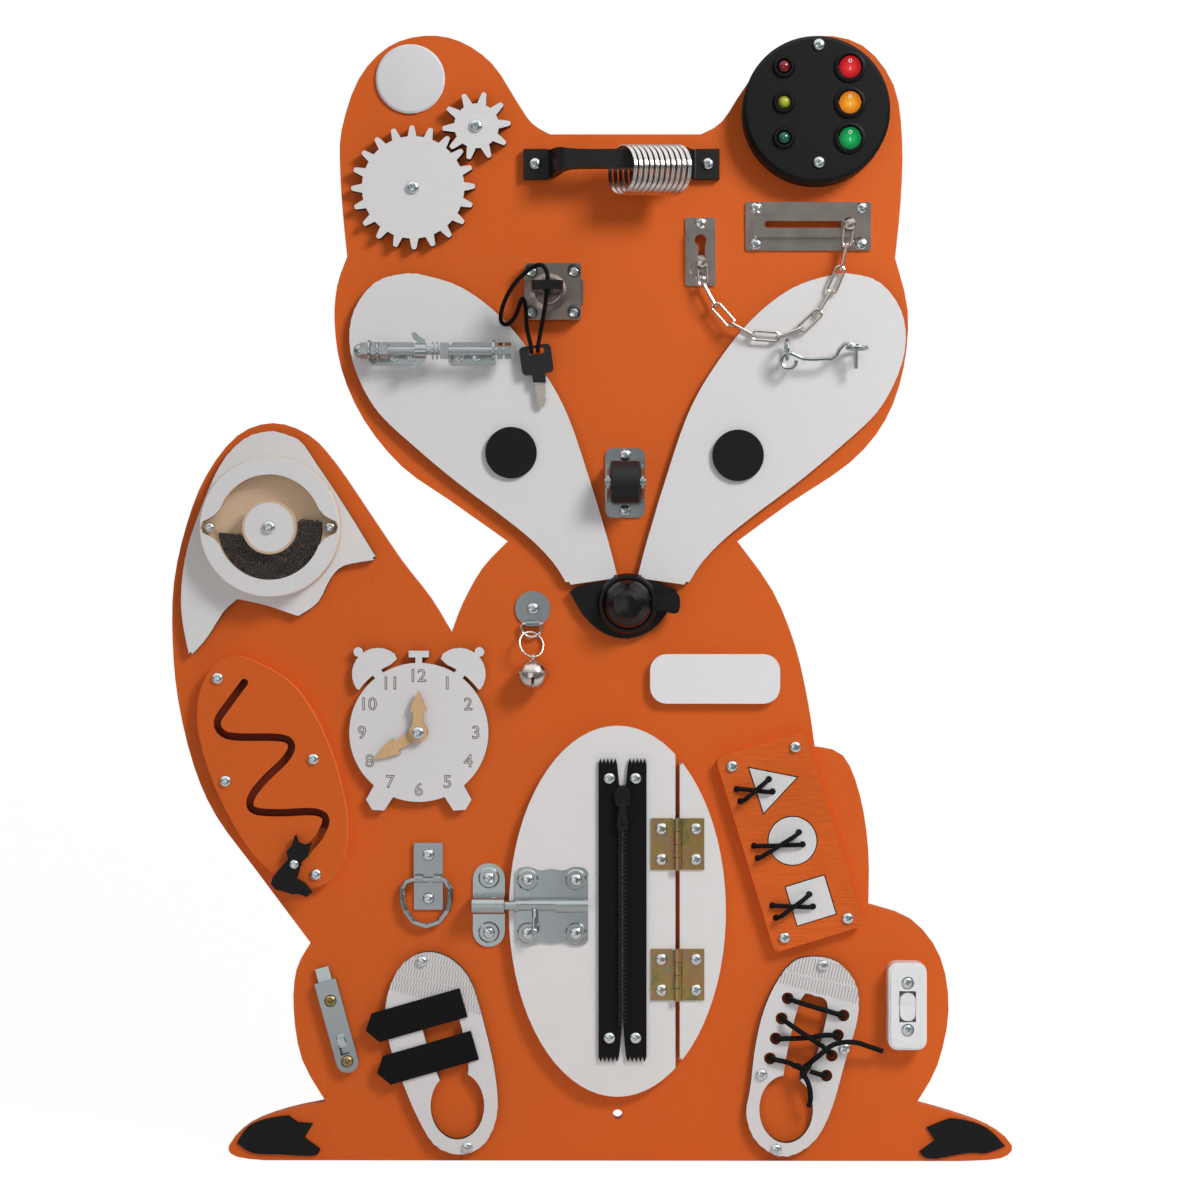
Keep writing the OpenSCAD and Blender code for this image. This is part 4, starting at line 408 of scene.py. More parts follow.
@dataclass(frozen=True)
class DrumPaint(Paint):
    """White paint on the drum's front and side, bare wood inside it and round its hub."""

    front_mm: float = 21.6

    def make(self) -> bpy.types.Material:
        """Builds the material."""
        m = Maker(self.name)
        reach = m.reach(DRUM_AT_MM)
        rings = ((reach * 0.9) + m.noise(40, 2) * 5).part()
        wood = m.blend(rings.ramp(0.2, 0.9), tint("#DCC3A8"), tint("#CBAE8E"))
        wood = m.blend(m.noise(300, 3, (0.2, 1, 1)).ramp(0.35, 0.7), wood, tint("#D2B698"))
        top = m.lift().ramp(self.front_mm - 1.0, self.front_mm - 0.6)
        hub_ring = reach.ramp(17.1, 17.4) * (1 - reach.ramp(19.2, 19.6))
        outside = reach.ramp(48.2, 48.7)
        painted = (top * (1 - hub_ring)).most(outside)
        streak = self._streak(m)
        coat = m.blend(outside * (1 - m.facing()), self._face(m, streak), tint("#E3D2C2"))
        return self._finish(m, m.blend(painted, wood, coat), self.roughness, m.bump(streak, self.relief))


@dataclass(frozen=True)
class BareWood:
    """Varnished plywood with fine grain and toasted edges."""

    name: str
    colour: Colour
    grain: Grain = Grain.UPRIGHT

    def make(self) -> bpy.types.Material:
        """Builds the material."""
        m = Maker(self.name)
        fibre = m.noise(1400, 4, self.grain.value)
        tone = fibre * 0.6 + m.noise(60, 3, self.grain.value) * 0.4
        face = m.blend(tone.ramp(0.3, 0.7), shade(self.colour, 0.78), self.colour)
        return m.finish(m.blend(m.facing(), tint("#7A4A28"), face), 0.5, m.bump(fibre, 0.08))


@dataclass(frozen=True)
class Plating:
    """Zinc or nickel plate, with faint rolling marks and uneven gloss."""

    name: str
    colour: Colour
    roughness: float = 0.28
    uneven: float = 0.12
    marks: float = 0.02

    def make(self) -> bpy.types.Material:
        """Builds the material."""
        m = Maker(self.name)
        cloud = m.noise(60, 2)
        colour = m.blend(cloud.ramp(0.2, 0.8), shade(self.colour, 0.93), self.colour)
        rough = self.roughness + (cloud - 0.5) * self.uneven
        return m.finish(colour, rough, m.bump(m.noise(2400, 2, (1, 1, 0.15)), self.marks), Metallic=1.0)


@dataclass(frozen=True)
class Passivated:
    """Yellow chromate on steel, whose colour drifts from gold to pink and green."""

    name: str

    def make(self) -> bpy.types.Material:
        """Builds the material."""
        m = Maker(self.name)
        drift = m.noise(75, 2)
        stops = [(0.3, tint("#8E8A62")), (0.45, tint("#B59C5E")), (0.58, tint("#B98F6A")), (0.7, tint("#9C9A78"))]
        colour = m.node("ShaderNodeValToRGB", {"stops": stops}, {0: drift})
        return m.finish(colour, 0.3 + drift * 0.12, m.bump(m.noise(2200, 2, (1, 1, 0.2)), 0.02), Metallic=1.0)


@dataclass(frozen=True)
class Moulding:
    """Moulded plastic, rubber or enamel with a faint skin."""

    name: str
    colour: Colour
    roughness: float = 0.3
    coat: float = 0.0
    skin: float = 0.02

    def make(self) -> bpy.types.Material:
        """Builds the material."""
        m = Maker(self.name)
        cloud = m.noise(30, 2)
        lighter = tuple(min(1.0, c * 1.12 + 0.002) for c in self.colour)
        shine = {"Specular_IOR_Level": 0.35, "Coat_Weight": self.coat, "Coat_Roughness": 0.06}
        rough = self.roughness + (cloud - 0.5) * 0.1
        return m.finish(m.blend(cloud, self.colour, lighter), rough, m.bump(m.noise(1900, 2), self.skin), **shine)


@dataclass(frozen=True)
class Lens:
    """A tinted lamp lens or rocker, deeper in colour towards its rim, with painted light that makes it lighter towards
    its centre.
    """

    name: str
    rim: Colour
    heart: Colour
    centre: Pair
    reach_mm: float

    def make(self) -> bpy.types.Material:
        """Builds the material."""
        m = Maker(self.name)
        # Painted light: the colour lightens from the rim to the centre, as if light shone through the dome.
        colour = m.blend((m.reach(self.centre) / self.reach_mm).ramp(0.15, 0.95), self.heart, self.rim)
        facets = m.noise(500, 2)
        shine = {"Specular_IOR_Level": 0.3, "Coat_Weight": 0.6, "Coat_Roughness": 0.04}
        return m.finish(colour, 0.14 + facets * 0.06, m.bump(facets, 0.03), **shine)


@dataclass(frozen=True)
class KeyMetal:
    """A key with a black moulded bow above a height and a plated blade below it."""

    name: str
    split_mm: float = 518.4

    def make(self) -> bpy.types.Material:
        """Builds the material."""
        m = Maker(self.name)
        _, z = m.place()
        blade = 1 - z.ramp(self.split_mm, self.split_mm + 0.3)
        cloud = m.noise(200, 2)
        plate = m.blend(cloud, (0.62, 0.56, 0.5), (0.72, 0.66, 0.6))
        colour = m.blend(blade, tint("#141415"), plate)
        return m.finish(colour, 0.26 + cloud * 0.1, m.bump(m.noise(1800), 0.02), Metallic=blade)


@dataclass(frozen=True)
class Clear:
    """Clear acrylic sheet."""

    name: str

    def make(self) -> bpy.types.Material:
        """Builds the material."""
        m = Maker(self.name)
        smear = m.noise(25, 3)
        colour = m.blend(smear, (0.95, 0.96, 0.96), (1.0, 1.0, 1.0))
        glass = {"IOR": 1.49, "Transmission_Weight": 1.0, "Alpha": 0.1 + smear * 0.05}
        return m.finish(colour, 0.02 + smear * 0.03, None, **glass)


class Weave(Enum):
    """How a textile is made."""

    BRAID = "braid"
    TWILL = "twill"


@dataclass(frozen=True)
class Textile:
    """Black polyester, braided round a cord or woven flat; it reads the piece's UV in millimetres."""

    name: str
    colour: Colour
    weave: Weave
    pitch_mm: float = 2.4
    depth_mm: float = 0.35

    def make(self) -> bpy.types.Material:
        """Builds the material."""
        m = Maker(self.name)
        if self.weave is Weave.BRAID:
            u, v, _ = m.split(m.coords("UV"))
            left = ((u * 4 + v / self.pitch_mm) * math.tau).sine()
            right = ((u * 4 - v / self.pitch_mm) * math.tau).sine()
            height = left.most(right) * 0.5 + 0.5
        else:
            x, z = m.place()
            rib = ((x * 0.5 + z) / self.pitch_mm * math.tau).sine()
            weft = ((x * 0.9 - z * 0.35) / (self.pitch_mm * 0.8) * math.tau).sine()
            height = rib.most(weft) * 0.5 + 0.5
        fuzz = m.noise(1500, 3)
        # Painted shade and light: the colour follows the weave's height, darker in its valleys and lighter on its
        # crests, mixed with random fuzz.
        colour = m.blend(height * 0.6 + fuzz * 0.4, shade(self.colour, 0.45), shade(self.colour, 1.5))
        normal = m.bump(height * 0.85 + fuzz * 0.15, self.depth_mm)
        return m.finish(colour, 0.82 + (fuzz - 0.5) * 0.2, normal, Specular_IOR_Level=0.15)


@dataclass(frozen=True)
class SeedCoat:
    """Dark round seeds, with a brown one here and there."""

    name: str

    def make(self) -> bpy.types.Material:
        """Builds the material."""
        m = Maker(self.name)
        patch = m.noise(420, 1)
        stops = [(0.0, tint("#17130F")), (0.52, tint("#2B2321")), (0.64, tint("#43332B")), (0.72, tint("#7A4A22"))]
        colour = m.node("ShaderNodeValToRGB", {"stops": stops}, {0: patch})
        return m.finish(colour, 0.5 + patch * 0.2, m.bump(m.noise(3000), 0.03))


class Look:
    """Every finish of the board, each built once and shared."""

    def __init__(self) -> None:
        """Names the finishes."""
        white = tint("#E3E1E1")
        burnt = tint("#4C3A30")
        orange = (0.72, 0.126, 0.016)
        black = tint("#151516")
        self.finishes: dict[str, Any] = {
            "orange": Paint("orange_paint", orange, relief=0.03, roughness=0.58, fleck=0.02),
            "orange_wood": Paint("orange_on_coarse_wood", orange, (0.86, 0.2, 0.04), Grain.LEVEL, 0.35, 0.6, 0.13),
            "grooved": GroovedPaint("orange_paint_painted_groove_shade", orange, relief=0.05, roughness=0.56),
            "white": Paint("white_paint", white, burnt, Grain.UPRIGHT, 0.03, fleck=0.012),
            "white_level": Paint("white_paint_level", white, burnt, Grain.LEVEL, 0.04, fleck=0.016),
            "white_coarse": Paint("white_on_coarse_wood", white, burnt, Grain.UPRIGHT, 0.3, fleck=0.05),
            "belly": Paint("white_door_paint", tint("#E9E7E6"), tint("#D9D2CC"), Grain.UPRIGHT, 0.04, 0.42, 0.012),
            "badge": Moulding("domed_white", tint("#DEDDE0"), 0.12, 1.0, 0.005),
            "plate": Paint("name_plate_white", tint("#EDECEE"), tint("#D5D3D2"), Grain.LEVEL, 0.01, 0.4, fleck=0.005),
            "strap_shoe": ToePaint("strap_shoe_white", white, burnt, toe=(-137.0, 82.0, 0.27)),
            "lace_shoe": ToePaint("lace_shoe_white", white, burnt, toe=(136.0, 88.0, 0.27), pitch_mm=2.2, row_mm=14.0),
            "drum": DrumPaint("drum_white", white, relief=0.06),
            "ply": BareWood("bare_ply", tint("#E2B784")),
            "black": Paint("black_paint", black, None, Grain.NONE, 0.05, 0.5),
            "black_board": Paint("black_box_paint", tint("#0F0F10"), None, Grain.NONE, 0.1, 0.48),
            "enamel": Moulding("black_enamel", tint("#0A0A0B"), 0.25, 0.15, 0.01),
            "powder": Moulding("black_powder_coat", tint("#0C0C0D"), 0.42, 0.0, 0.05),
            "rubber": Moulding("black_rubber", tint("#141415"), 0.55, 0.0, 0.06),
            "white_plastic": Moulding("white_plastic", tint("#E9E9EA"), 0.28, 0.3, 0.01),
            "zinc": Plating("zinc_plate", (0.45, 0.495, 0.505), 0.2, 0.1),
            # A darker copy of the zinc plate.
            "dark_zinc": Plating("darker_zinc_plate", (0.33, 0.36, 0.37), 0.22, 0.1),
            "screw": Plating("screw_zinc", (0.72, 0.77, 0.79), 0.24, 0.1, 0.01),
            "nickel": Plating("nickel_plate", (0.72, 0.65, 0.59), 0.2, 0.08),
            "chrome": Plating("bright_ring_plate", (0.80, 0.77, 0.74), 0.12, 0.05, 0.0),
            "lock": Plating("lock_nickel", (0.34, 0.29, 0.255), 0.26, 0.1, 0.03),
            "yellow": Passivated("yellow_chromate"),
            "window": Clear("clear_acrylic"),
            "cord": Textile("black_cord", tint("#111113"), Weave.BRAID),
            "webbing": Textile("black_webbing", tint("#101012"), Weave.TWILL, 1.1, 0.18),
            "tape": Textile("black_zip_tape", tint("#101012"), Weave.TWILL, 0.9, 0.1),
            "seeds": SeedCoat("seed_coat"),
            "engraved": Moulding("engraved_brown", tint("#5E5048"), 0.8),
            "key_blade": KeyMetal("spare_key_metal"),
            "mark": Moulding("white_mark", tint("#F2F2F0"), 0.5),
        }
        self._made: dict[str, bpy.types.Material] = {}

    def __getitem__(self, key: str) -> bpy.types.Material:
        """The material of that finish."""
        if key not in self._made:
            self._made[key] = self.finishes[key].make()
        return self._made[key]

    def add(self, key: str, finish: Any) -> bpy.types.Material:
        """Adds a finish that needs a place of its own, and returns its material."""
        self.finishes[key] = finish
        return self[key]


LOOK = Look()


# ---- meshes ------------------------------------------------------------------------------------------------


def put(name: str, data: Any) -> bpy.types.Object:
    """Puts a mesh, curve, light or camera into the scene as a new object."""
    obj = bpy.data.objects.new(name, data)
    bpy.context.scene.collection.objects.link(obj)
    return obj


def piece(
    mesh: bpy.types.Mesh,
    name: str,
    material: bpy.types.Material,
    body: Body,
    replaces: Iterable[str] = (),
    smooth: Optional[float] = 35.0,
) -> bpy.types.Object:
    """Turns a finished mesh into a piece of the board.

    Args:
        mesh: the mesh, in place in the row frame.
        name: the piece's name.
        material: its only material.
        body: the body it rides on.
        replaces: the CAD nodes it stands for.
        smooth: the angle below which edges are shaded smooth, or None for flat faces.

    Returns:
        The new object.
    """
    obj = put(name, mesh)
    mesh.materials.clear()
    mesh.materials.append(material)
    for polygon in mesh.polygons:
        polygon.material_index = 0
        polygon.use_smooth = smooth is not None
    if smooth is not None:
        mesh.set_sharp_from_angle(angle=math.radians(smooth))
    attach(obj, body.value)
    if replaces:
        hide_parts(*replaces)
    log.info("piece %s: %d faces", name, len(mesh.polygons))
    return obj


def dress(node: str, key: str) -> None:
    """Gives a CAD node one of the board's finishes."""
    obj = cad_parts[node]
    if not obj.material_slots:
        obj.data.materials.append(LOOK[key])
    for slot in obj.material_slots:
        slot.link = "OBJECT"
        slot.material = LOOK[key]
    log.info("node %s: %s", node, key)


def dress_all(finishes: dict[str, str]) -> None:
    """Gives each CAD node the finish named beside it."""
    for node, key in finishes.items():
        dress(node, key)


def taken(work: bmesh.types.BMesh, name: str, outward: bool = False) -> bpy.types.Mesh:
    """Turns a finished bmesh into a mesh and frees it.

    Args:
        work: the bmesh.
        name: the mesh's name.
        outward: whether its faces are turned outwards first.

    Returns:
        The mesh.
    """
    if outward:
        bmesh.ops.recalc_face_normals(work, faces=work.faces)
    mesh = bpy.data.meshes.new(name)
    work.to_mesh(mesh)
    work.free()
    return mesh


def skin(work: bmesh.types.BMesh, rings: Sequence[Sequence[bmesh.types.BMVert]]) -> None:
    """Spans faces between closed rings of as many points each."""
    for low, high in zip(rings, rings[1:]):
        for k, after in enumerate([*range(1, len(low)), 0]):
            work.faces.new([low[k], low[after], high[after], high[k]])


@dataclass
class Solid:
    """One closed solid of a CAD node, copied and merged."""

    mesh: bpy.types.Mesh
    low: Vector
    high: Vector

    @property
    def centre(self) -> Vector:
        """The middle of its box."""
        return (self.low + self.high) / 2

    @property
    def size(self) -> Vector:
        """The size of its box."""
        return self.high - self.low

    def is_round(self, widest_mm: float) -> bool:
        """True where its front is as wide as it is tall, and smaller than widest_mm."""
        wide, tall = self.size.x, self.size.z
        return abs(wide - tall) < 0.3 * MM and max(wide, tall) < widest_mm * MM

    @property
    def is_screw(self) -> bool:
        """True for a screw, which is small, round and deep, or for a smaller round rivet."""
        return self.is_round(9.0) or (self.is_round(9.6) and self.size.y > 6 * MM)


def solids_of(node: str) -> list[Solid]:
    """Splits a copy of a CAD node's mesh into its solids.

    Args:
        node: the node's name.

    Returns:
        The solids, each with a mesh of its own.
    """
    whole = bmesh.new()
    whole.from_mesh(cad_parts[node].data)
    bmesh.ops.remove_doubles(whole, verts=whole.verts, dist=2e-6)
    whole.verts.ensure_lookup_table()
    seen: set[int] = set()
    found: list[Solid] = []
    for start in whole.verts:
        if start.index in seen:
            continue
        stack, group = [start], set()
        while stack:
            vert = stack.pop()
            if vert.index in group:
                continue
            group.add(vert.index)
            stack.extend(edge.other_vert(vert) for edge in vert.link_edges)
        seen |= group
        if len(group) < 4:
            continue
        order = sorted(group)
        index = {old: new for new, old in enumerate(order)}
        points = [whole.verts[i].co.copy() for i in order]
        faces = {face.index: face for i in order for face in whole.verts[i].link_faces}
        mesh = bpy.data.meshes.new(f"{node}_{len(found)}")
        mesh.from_pydata(points, [], [[index[v.index] for v in faces[k].verts] for k in sorted(faces)])
        mesh.update()
        low = Vector(min(p[k] for p in points) for k in range(3))
        high = Vector(max(p[k] for p in points) for k in range(3))
        found.append(Solid(mesh, low, high))
    whole.free()
    return found


def round_corners(mesh: bpy.types.Mesh, reach_mm: float = 2.4, wide_mm: float = 6.5) -> None:
    """Rounds the upright corners between the wide faces of a cut panel's edge.

    Args:
        mesh: the panel's mesh, changed in place.
        reach_mm: how far from each corner the rounding starts.
        wide_mm: the least width of a face next to a corner that is rounded.
    """
    work = bmesh.new()
    work.from_mesh(mesh)
    bmesh.ops.dissolve_limit(work, angle_limit=math.radians(0.6), verts=work.verts, edges=work.edges)
    work.normal_update()
    chosen = []
    for edge in work.edges:
        along = edge.verts[1].co - edge.verts[0].co
        if abs(along.y) < 0.98 * along.length or along.length < 2 * MM or len(edge.link_faces) != 2:
            continue
        sides = [max((v.co - edge.verts[0].co).xz.length for v in face.verts) for face in edge.link_faces]
        turn = edge.calc_face_angle(0.0)
        if min(sides) > wide_mm * MM and math.radians(2) < turn < math.radians(150):
            chosen.append(edge)
    if chosen:
        shape = {"offset_type": "OFFSET", "segments": 5, "affect": "EDGES", "clamp_overlap": True}
        bmesh.ops.bevel(work, geom=chosen, offset=reach_mm * MM, **shape)
    work.normal_update()
    bmesh.ops.triangulate(work, faces=[f for f in work.faces if len(f.verts) > 4])
    work.to_mesh(mesh)
    work.free()
    log.info("%s: %d corners rounded", mesh.name, len(chosen))


def joined(meshes: Sequence[bpy.types.Mesh], name: str) -> bpy.types.Mesh:
    """Puts several meshes into one."""
    whole = bmesh.new()
    for mesh in meshes:
        whole.from_mesh(mesh)
    return taken(whole, name)


def smooth_path(points: Sequence[Vector], steps: int) -> list[Vector]:
    """A smooth path through the points.

    Args:
        points: the points in order.
        steps: how many parts each span gets.

    Returns:
        The points of the finer path.
    """
    result: list[Vector] = []
    last = len(points) - 1
    for i in range(last):
        a, b, c, d = points[max(i - 1, 0)], points[i], points[i + 1], points[min(i + 2, last)]
        for k in range(steps):
            t = k / steps
            bend, twist = 2 * a - 5 * b + 4 * c - d, 3 * b - a - 3 * c + d
            result.append(0.5 * (2 * b + (c - a) * t + bend * t**2 + twist * t**3))
    result.append(points[-1].copy())
    return result


def path_length(path: Sequence[Vector]) -> float:
    """The length of a path."""
    return sum((b - a).length for a, b in zip(path, path[1:]))


def tube(path: Sequence[Vector], radius: float, sides: int, name: str) -> bpy.types.Mesh:
    """A closed round tube along a path, with UV as turns round it and millimetres along it.

    Args:
        path: the centreline.
        radius: the tube's radius.
        sides: how many faces go round it.
        name: the mesh's name.

    Returns:
        The mesh.
    """
    work = bmesh.new()
    uv = work.loops.layers.uv.new("uv")
    normal = Vector((0.3, 0.2, 0.9))
    rings: list[list[bmesh.types.BMVert]] = []
    along = [0.0]
    for a, b in zip(path, path[1:]):
        along.append(along[-1] + (b - a).length / MM)
    for i, point in enumerate(path):
        tangent = (path[min(i + 1, len(path) - 1)] - path[max(i - 1, 0)]).normalized()
        normal = (normal - tangent * normal.dot(tangent)).normalized()
        side = tangent.cross(normal)
        turns = [math.tau * k / sides for k in range(sides)]
        rings.append([work.verts.new(point + radius * (math.cos(t) * normal + math.sin(t) * side)) for t in turns])
    for i, (low, high) in enumerate(zip(rings, rings[1:])):
        for k in range(sides):
            face = work.faces.new([low[k], low[(k + 1) % sides], high[(k + 1) % sides], high[k]])
            where = [(k, i), (k + 1, i), (k + 1, i + 1), (k, i + 1)]
            for loop, (around, step) in zip(face.loops, where):
                loop[uv].uv = (around / sides, along[step])
    work.faces.new(list(reversed(rings[0])))
    work.faces.new(rings[-1])
    return taken(work, name)


# ---- repeated parts ----------------------------------------------------------------------------------------


class Copies:
    """A geometry node tree that sets one shape on many points."""

    def __init__(self) -> None:
        """Builds the tree: points with a size and a heading become copies of the shape."""
        self.group = bpy.data.node_groups.new("copies_on_points", "GeometryNodeTree")
        inputs = {
            "Geometry": "Geometry", "Shape": "Object", "Scale": "Float", "Random Turn": "Float", "Seed": "Int",
            "Material": "Material",
        }
        for label, kind in inputs.items():
            self.group.interface.new_socket(label, in_out="INPUT", socket_type=f"NodeSocket{kind}")
        self.group.interface.new_socket("Geometry", in_out="OUTPUT", socket_type="NodeSocketGeometry")
        t = Tree(self.group)
        outputs = t.raw("NodeGroupInput").outputs
        given = {label: Sock(t, outputs[label]) for label in inputs}
        shape = t.node("GeometryNodeObjectInfo", None, {"Object": given["Shape"]}, "Geometry")
        size = t.node("GeometryNodeInputNamedAttribute", {"data_type": "FLOAT"}, {"Name": "size"})
        heading = t.node("GeometryNodeInputNamedAttribute", {"data_type": "FLOAT_VECTOR"}, {"Name": "heading"})
        aim = t.node("FunctionNodeEulerToRotation", None, {0: heading})
        draw = {3: given["Random Turn"], "Seed": given["Seed"]}
        chance = t.node("FunctionNodeRandomValue", {"data_type": "FLOAT"}, draw, 1)
        turn = t.node("ShaderNodeCombineXYZ", None, {"Y": chance})
        spun = t.node("FunctionNodeEulerToRotation", None, {0: turn})
        both = t.node("FunctionNodeRotateRotation", {"rotation_space": "LOCAL"}, {"Rotation": aim, "Rotate By": spun})
        where = {"Points": given["Geometry"], "Instance": shape, "Rotation": both, "Scale": size * given["Scale"]}
        placed = t.node("GeometryNodeInstanceOnPoints", None, where)
        real = t.node("GeometryNodeRealizeInstances", None, {"Geometry": placed})
        coloured = t.node("GeometryNodeSetMaterial", None, {"Geometry": real, "Material": given["Material"]})
        t.raw("NodeGroupOutput", None, {0: coloured})

    def run(
        self,
        shape: bpy.types.Mesh,
        spots: Sequence[Spot],
        material: bpy.types.Material,
        name: str,
        random_turn: float = 0.0,
        seed: int = 7,
    ) -> bpy.types.Mesh:
        """Sets a shape on every spot.

        Args:
            shape: the mesh to repeat, built round the origin.
            spots: place, size and heading (Euler angles) of each copy.
            material: the copies' material.
            name: the new mesh's name.
            random_turn: the most that a copy turns about its own Y axis, in radians.
            seed: the seed of those turns.

        Returns:
            One plain mesh of all copies.
        """
        model = put(f"{name}_shape", shape)
        points = bpy.data.meshes.new(f"{name}_points")
        points.from_pydata([spot[0] for spot in spots], [], [])
        points.attributes.new("size", "FLOAT", "POINT").data.foreach_set("value", [spot[1] for spot in spots])
        heading = points.attributes.new("heading", "FLOAT_VECTOR", "POINT")
        heading.data.foreach_set("vector", [value for spot in spots for value in spot[2]])
        carrier = put(f"{name}_carrier", points)
        modifier = carrier.modifiers.new("copies", "NODES")
        modifier.node_group = self.group
        wanted = {"Shape": model, "Scale": 1.0, "Random Turn": random_turn, "Seed": seed, "Material": material}
        for item in self.group.interface.items_tree:
            if item.in_out == "INPUT" and item.name in wanted:
                modifier[item.identifier] = wanted[item.name]
        graph = bpy.context.evaluated_depsgraph_get()
        graph.update()
        result = bpy.data.meshes.new_from_object(carrier.evaluated_get(graph))
        result.name = name
        carrier.modifiers.remove(modifier)
        bpy.data.objects.remove(carrier)
        bpy.data.objects.remove(model)
        for extra in ("size", "heading"):
            if extra in result.attributes:
                result.attributes.remove(result.attributes[extra])
        return result


COPIES = Copies()


def repeat(
    shape: bpy.types.Mesh,
    spots: Sequence[Spot],
    finish: str,
    name: str,
    body: Body,
    replaces: Iterable[str] = (),
    smooth: float = 40.0,
    turn: float = 0.0,
    seed: int = 7,
) -> bpy.types.Object:
    """Makes one piece of many copies of a shape; see Copies.run and piece.

    Args:
        shape: the mesh to repeat.
        spots: where its copies go.
        finish: their finish.
        name: the piece's name.
        body: the body it rides on.
        replaces: the CAD nodes it stands for.
        smooth: the angle below which edges are shaded smooth.
        turn: the most that a copy turns about its own Y axis, in radians.
        seed: the seed of those turns.

    Returns:
        The piece.
    """
    mesh = COPIES.run(shape, spots, LOOK[finish], name, turn, seed)
    return piece(mesh, name, LOOK[finish], body, replaces, smooth)


@dataclass
class ScrewHead:
    """A pan head with a cross recess and its shank, looking along -Y; the clamping face is at y = 0."""

    radius_mm: float = 4.2
    height_mm: float = 2.6
    slot_mm: float = 0.55
    arm_mm: float = 2.15
    depth_mm: float = 1.5
    shank_mm: float = 1.7
    length_mm: float = 8.0

    def angles(self) -> list[float]:
        """The angles of the rim's points, with one at each corner of the recess."""
        corner = math.degrees(math.atan2(self.slot_mm, self.arm_mm))
        quarter = [0.0, corner, 30.0, 45.0, 60.0, 90 - corner]
        return [math.radians(90 * k + a) for k in range(4) for a in quarter]

    def cross_reach(self, angle: float) -> float:
        """How far the recess reaches at an angle."""
        c, s = abs(math.cos(angle)), abs(math.sin(angle))
        if max(c, s) < 1e-9:
            return self.slot_mm
        far, near = max(c, s), min(c, s)
        along = self.arm_mm / far
        if near * along <= self.slot_mm + 1e-6:
            return along
        return self.slot_mm / near

    def build(self) -> bpy.types.Mesh:
        """Builds the mesh."""
        work = bmesh.new()
        angles = self.angles()
        r, h = self.radius_mm, self.height_mm
        rings: list[list[Pair]] = [
            [(0.45 * self.cross_reach(a), h * 0.97 - self.depth_mm) for a in angles],
            [(self.cross_reach(a), h * 0.97) for a in angles],
            [(max(self.cross_reach(a) * 1.06, 0.62 * r), h * 0.92) for a in angles],
            [(0.86 * r, h * 0.7) for _ in angles],
            [(0.97 * r, h * 0.42) for _ in angles],
            [(r, h * 0.16) for _ in angles],
            [(r * 0.985, 0.0) for _ in angles],
            [(self.shank_mm, 0.0) for _ in angles],
            [(self.shank_mm, -self.length_mm + 2) for _ in angles],
        ]
        made = [
            [
                work.verts.new(Vector((reach * math.cos(a), -rise, reach * math.sin(a))) * MM)
                for (reach, rise), a in zip(ring, angles)
            ]
            for ring in rings
        ]
        skin(work, made)
        work.faces.new(made[0])
        tip = work.verts.new((0, self.length_mm * MM, 0))
        for k in range(len(angles)):
            work.faces.new([made[-1][k], made[-1][(k + 1) % len(angles)], tip])
        return taken(work, "pan_head", outward=True)


def screws_for(
    solids: Iterable[Solid], name: str, body: Body, replaces: Iterable[str], seed: int, finish: str = "screw"
) -> bpy.types.Object:
    """Sets pan heads with a cross recess where the plain ones are.

    Args:
        solids: the plain screws.
        name: the new piece's name.
        body: the body it rides on.
        replaces: the CAD nodes it stands for.
        seed: the seed of the heads' turns.
        finish: the heads' finish.

    Returns:
        The new piece.
    """
    head = ScrewHead()
    spots = []
    for solid in solids:
        size = solid.size.x / 2 / (head.radius_mm * MM)
        rise = head.height_mm * MM
        seat = Vector((solid.centre.x, solid.low.y + rise * min(size, 1.0), solid.centre.z))
        spots.append((seat, size, AHEAD))
    return repeat(head.build(), spots, finish, name, body, replaces, turn=math.tau, seed=seed)


# ---- sub-assemblies ----------------------------------------------------------------------------------------


@dataclass
class Panels:
    """The board, its painted panels and the screws that hold everything."""

    far: ClassVar[float] = 1000.0
    zones_mm: ClassVar[tuple[tuple[str, str, Pair, Pair], ...]] = (
        ("badge_disc", "badge", (-far, far), (700.0, far)),
        ("tail_tip_panel", "white", (-far, -200.0), (430.0, far)),
        ("left_cheek_panel", "white", (-far, 0.0), (400.0, far)),
        ("right_cheek_panel", "white", (0.0, far), (400.0, far)),
        ("name_plate_blank", "plate", (0.0, far), (280.0, far)),
        ("tail_tip_panel", "white", (-far, far), (300.0, far)),
        ("strap_shoe_panel", "strap_shoe", (-far, -60.0), (-far, far)),
        ("belly_frame_panel", "belly", (-far, far), (115.0, 175.0)),
        ("lace_shoe_panel", "lace_shoe", (-far, far), (-far, far)),
    )

    def build(self) -> None:
        """Splits the white panels so that each has its own paint, and sets the screws."""
        dress_all({"board": "orange", "black_panels": "black"})
        for solid in solids_of("white_panels"):
            name, key = self._which(solid)
            round_corners(solid.mesh)
            piece(solid.mesh, name, LOOK[key], Body.BOARD, ["white_panels"], 30.0)
        low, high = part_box("flush_bolt_case")
        groups: dict[bool, list[Solid]] = {False: [], True: []}
        for solid in solids_of("board_screws"):
            spot = solid.centre
            groups[low.x < spot.x < high.x and low.z < spot.z < high.z].append(solid)
        screws_for(groups[False], "screw_heads", Body.BOARD, ["board_screws"], 11)
        screws_for(groups[True], "flush_bolt_screws", Body.BOARD, ["board_screws"], 13, "yellow")

    def _which(self, solid: Solid) -> Sequence[str]:
        """The name and finish of a white panel: those of the first zone that holds its middle."""
        x, z = solid.centre.x / MM, solid.centre.z / MM
        held = (zone for zone in self.zones_mm if zone[2][0] <= x < zone[2][1] and zone[3][0] < z < zone[3][1])
        return next(held)[:2]


@dataclass
class Gears:
    """The two meshing gears."""

    def build(self) -> None:
        """Dresses both."""
        dress_all({"large_gear": "white_level", "small_gear": "white_level"})


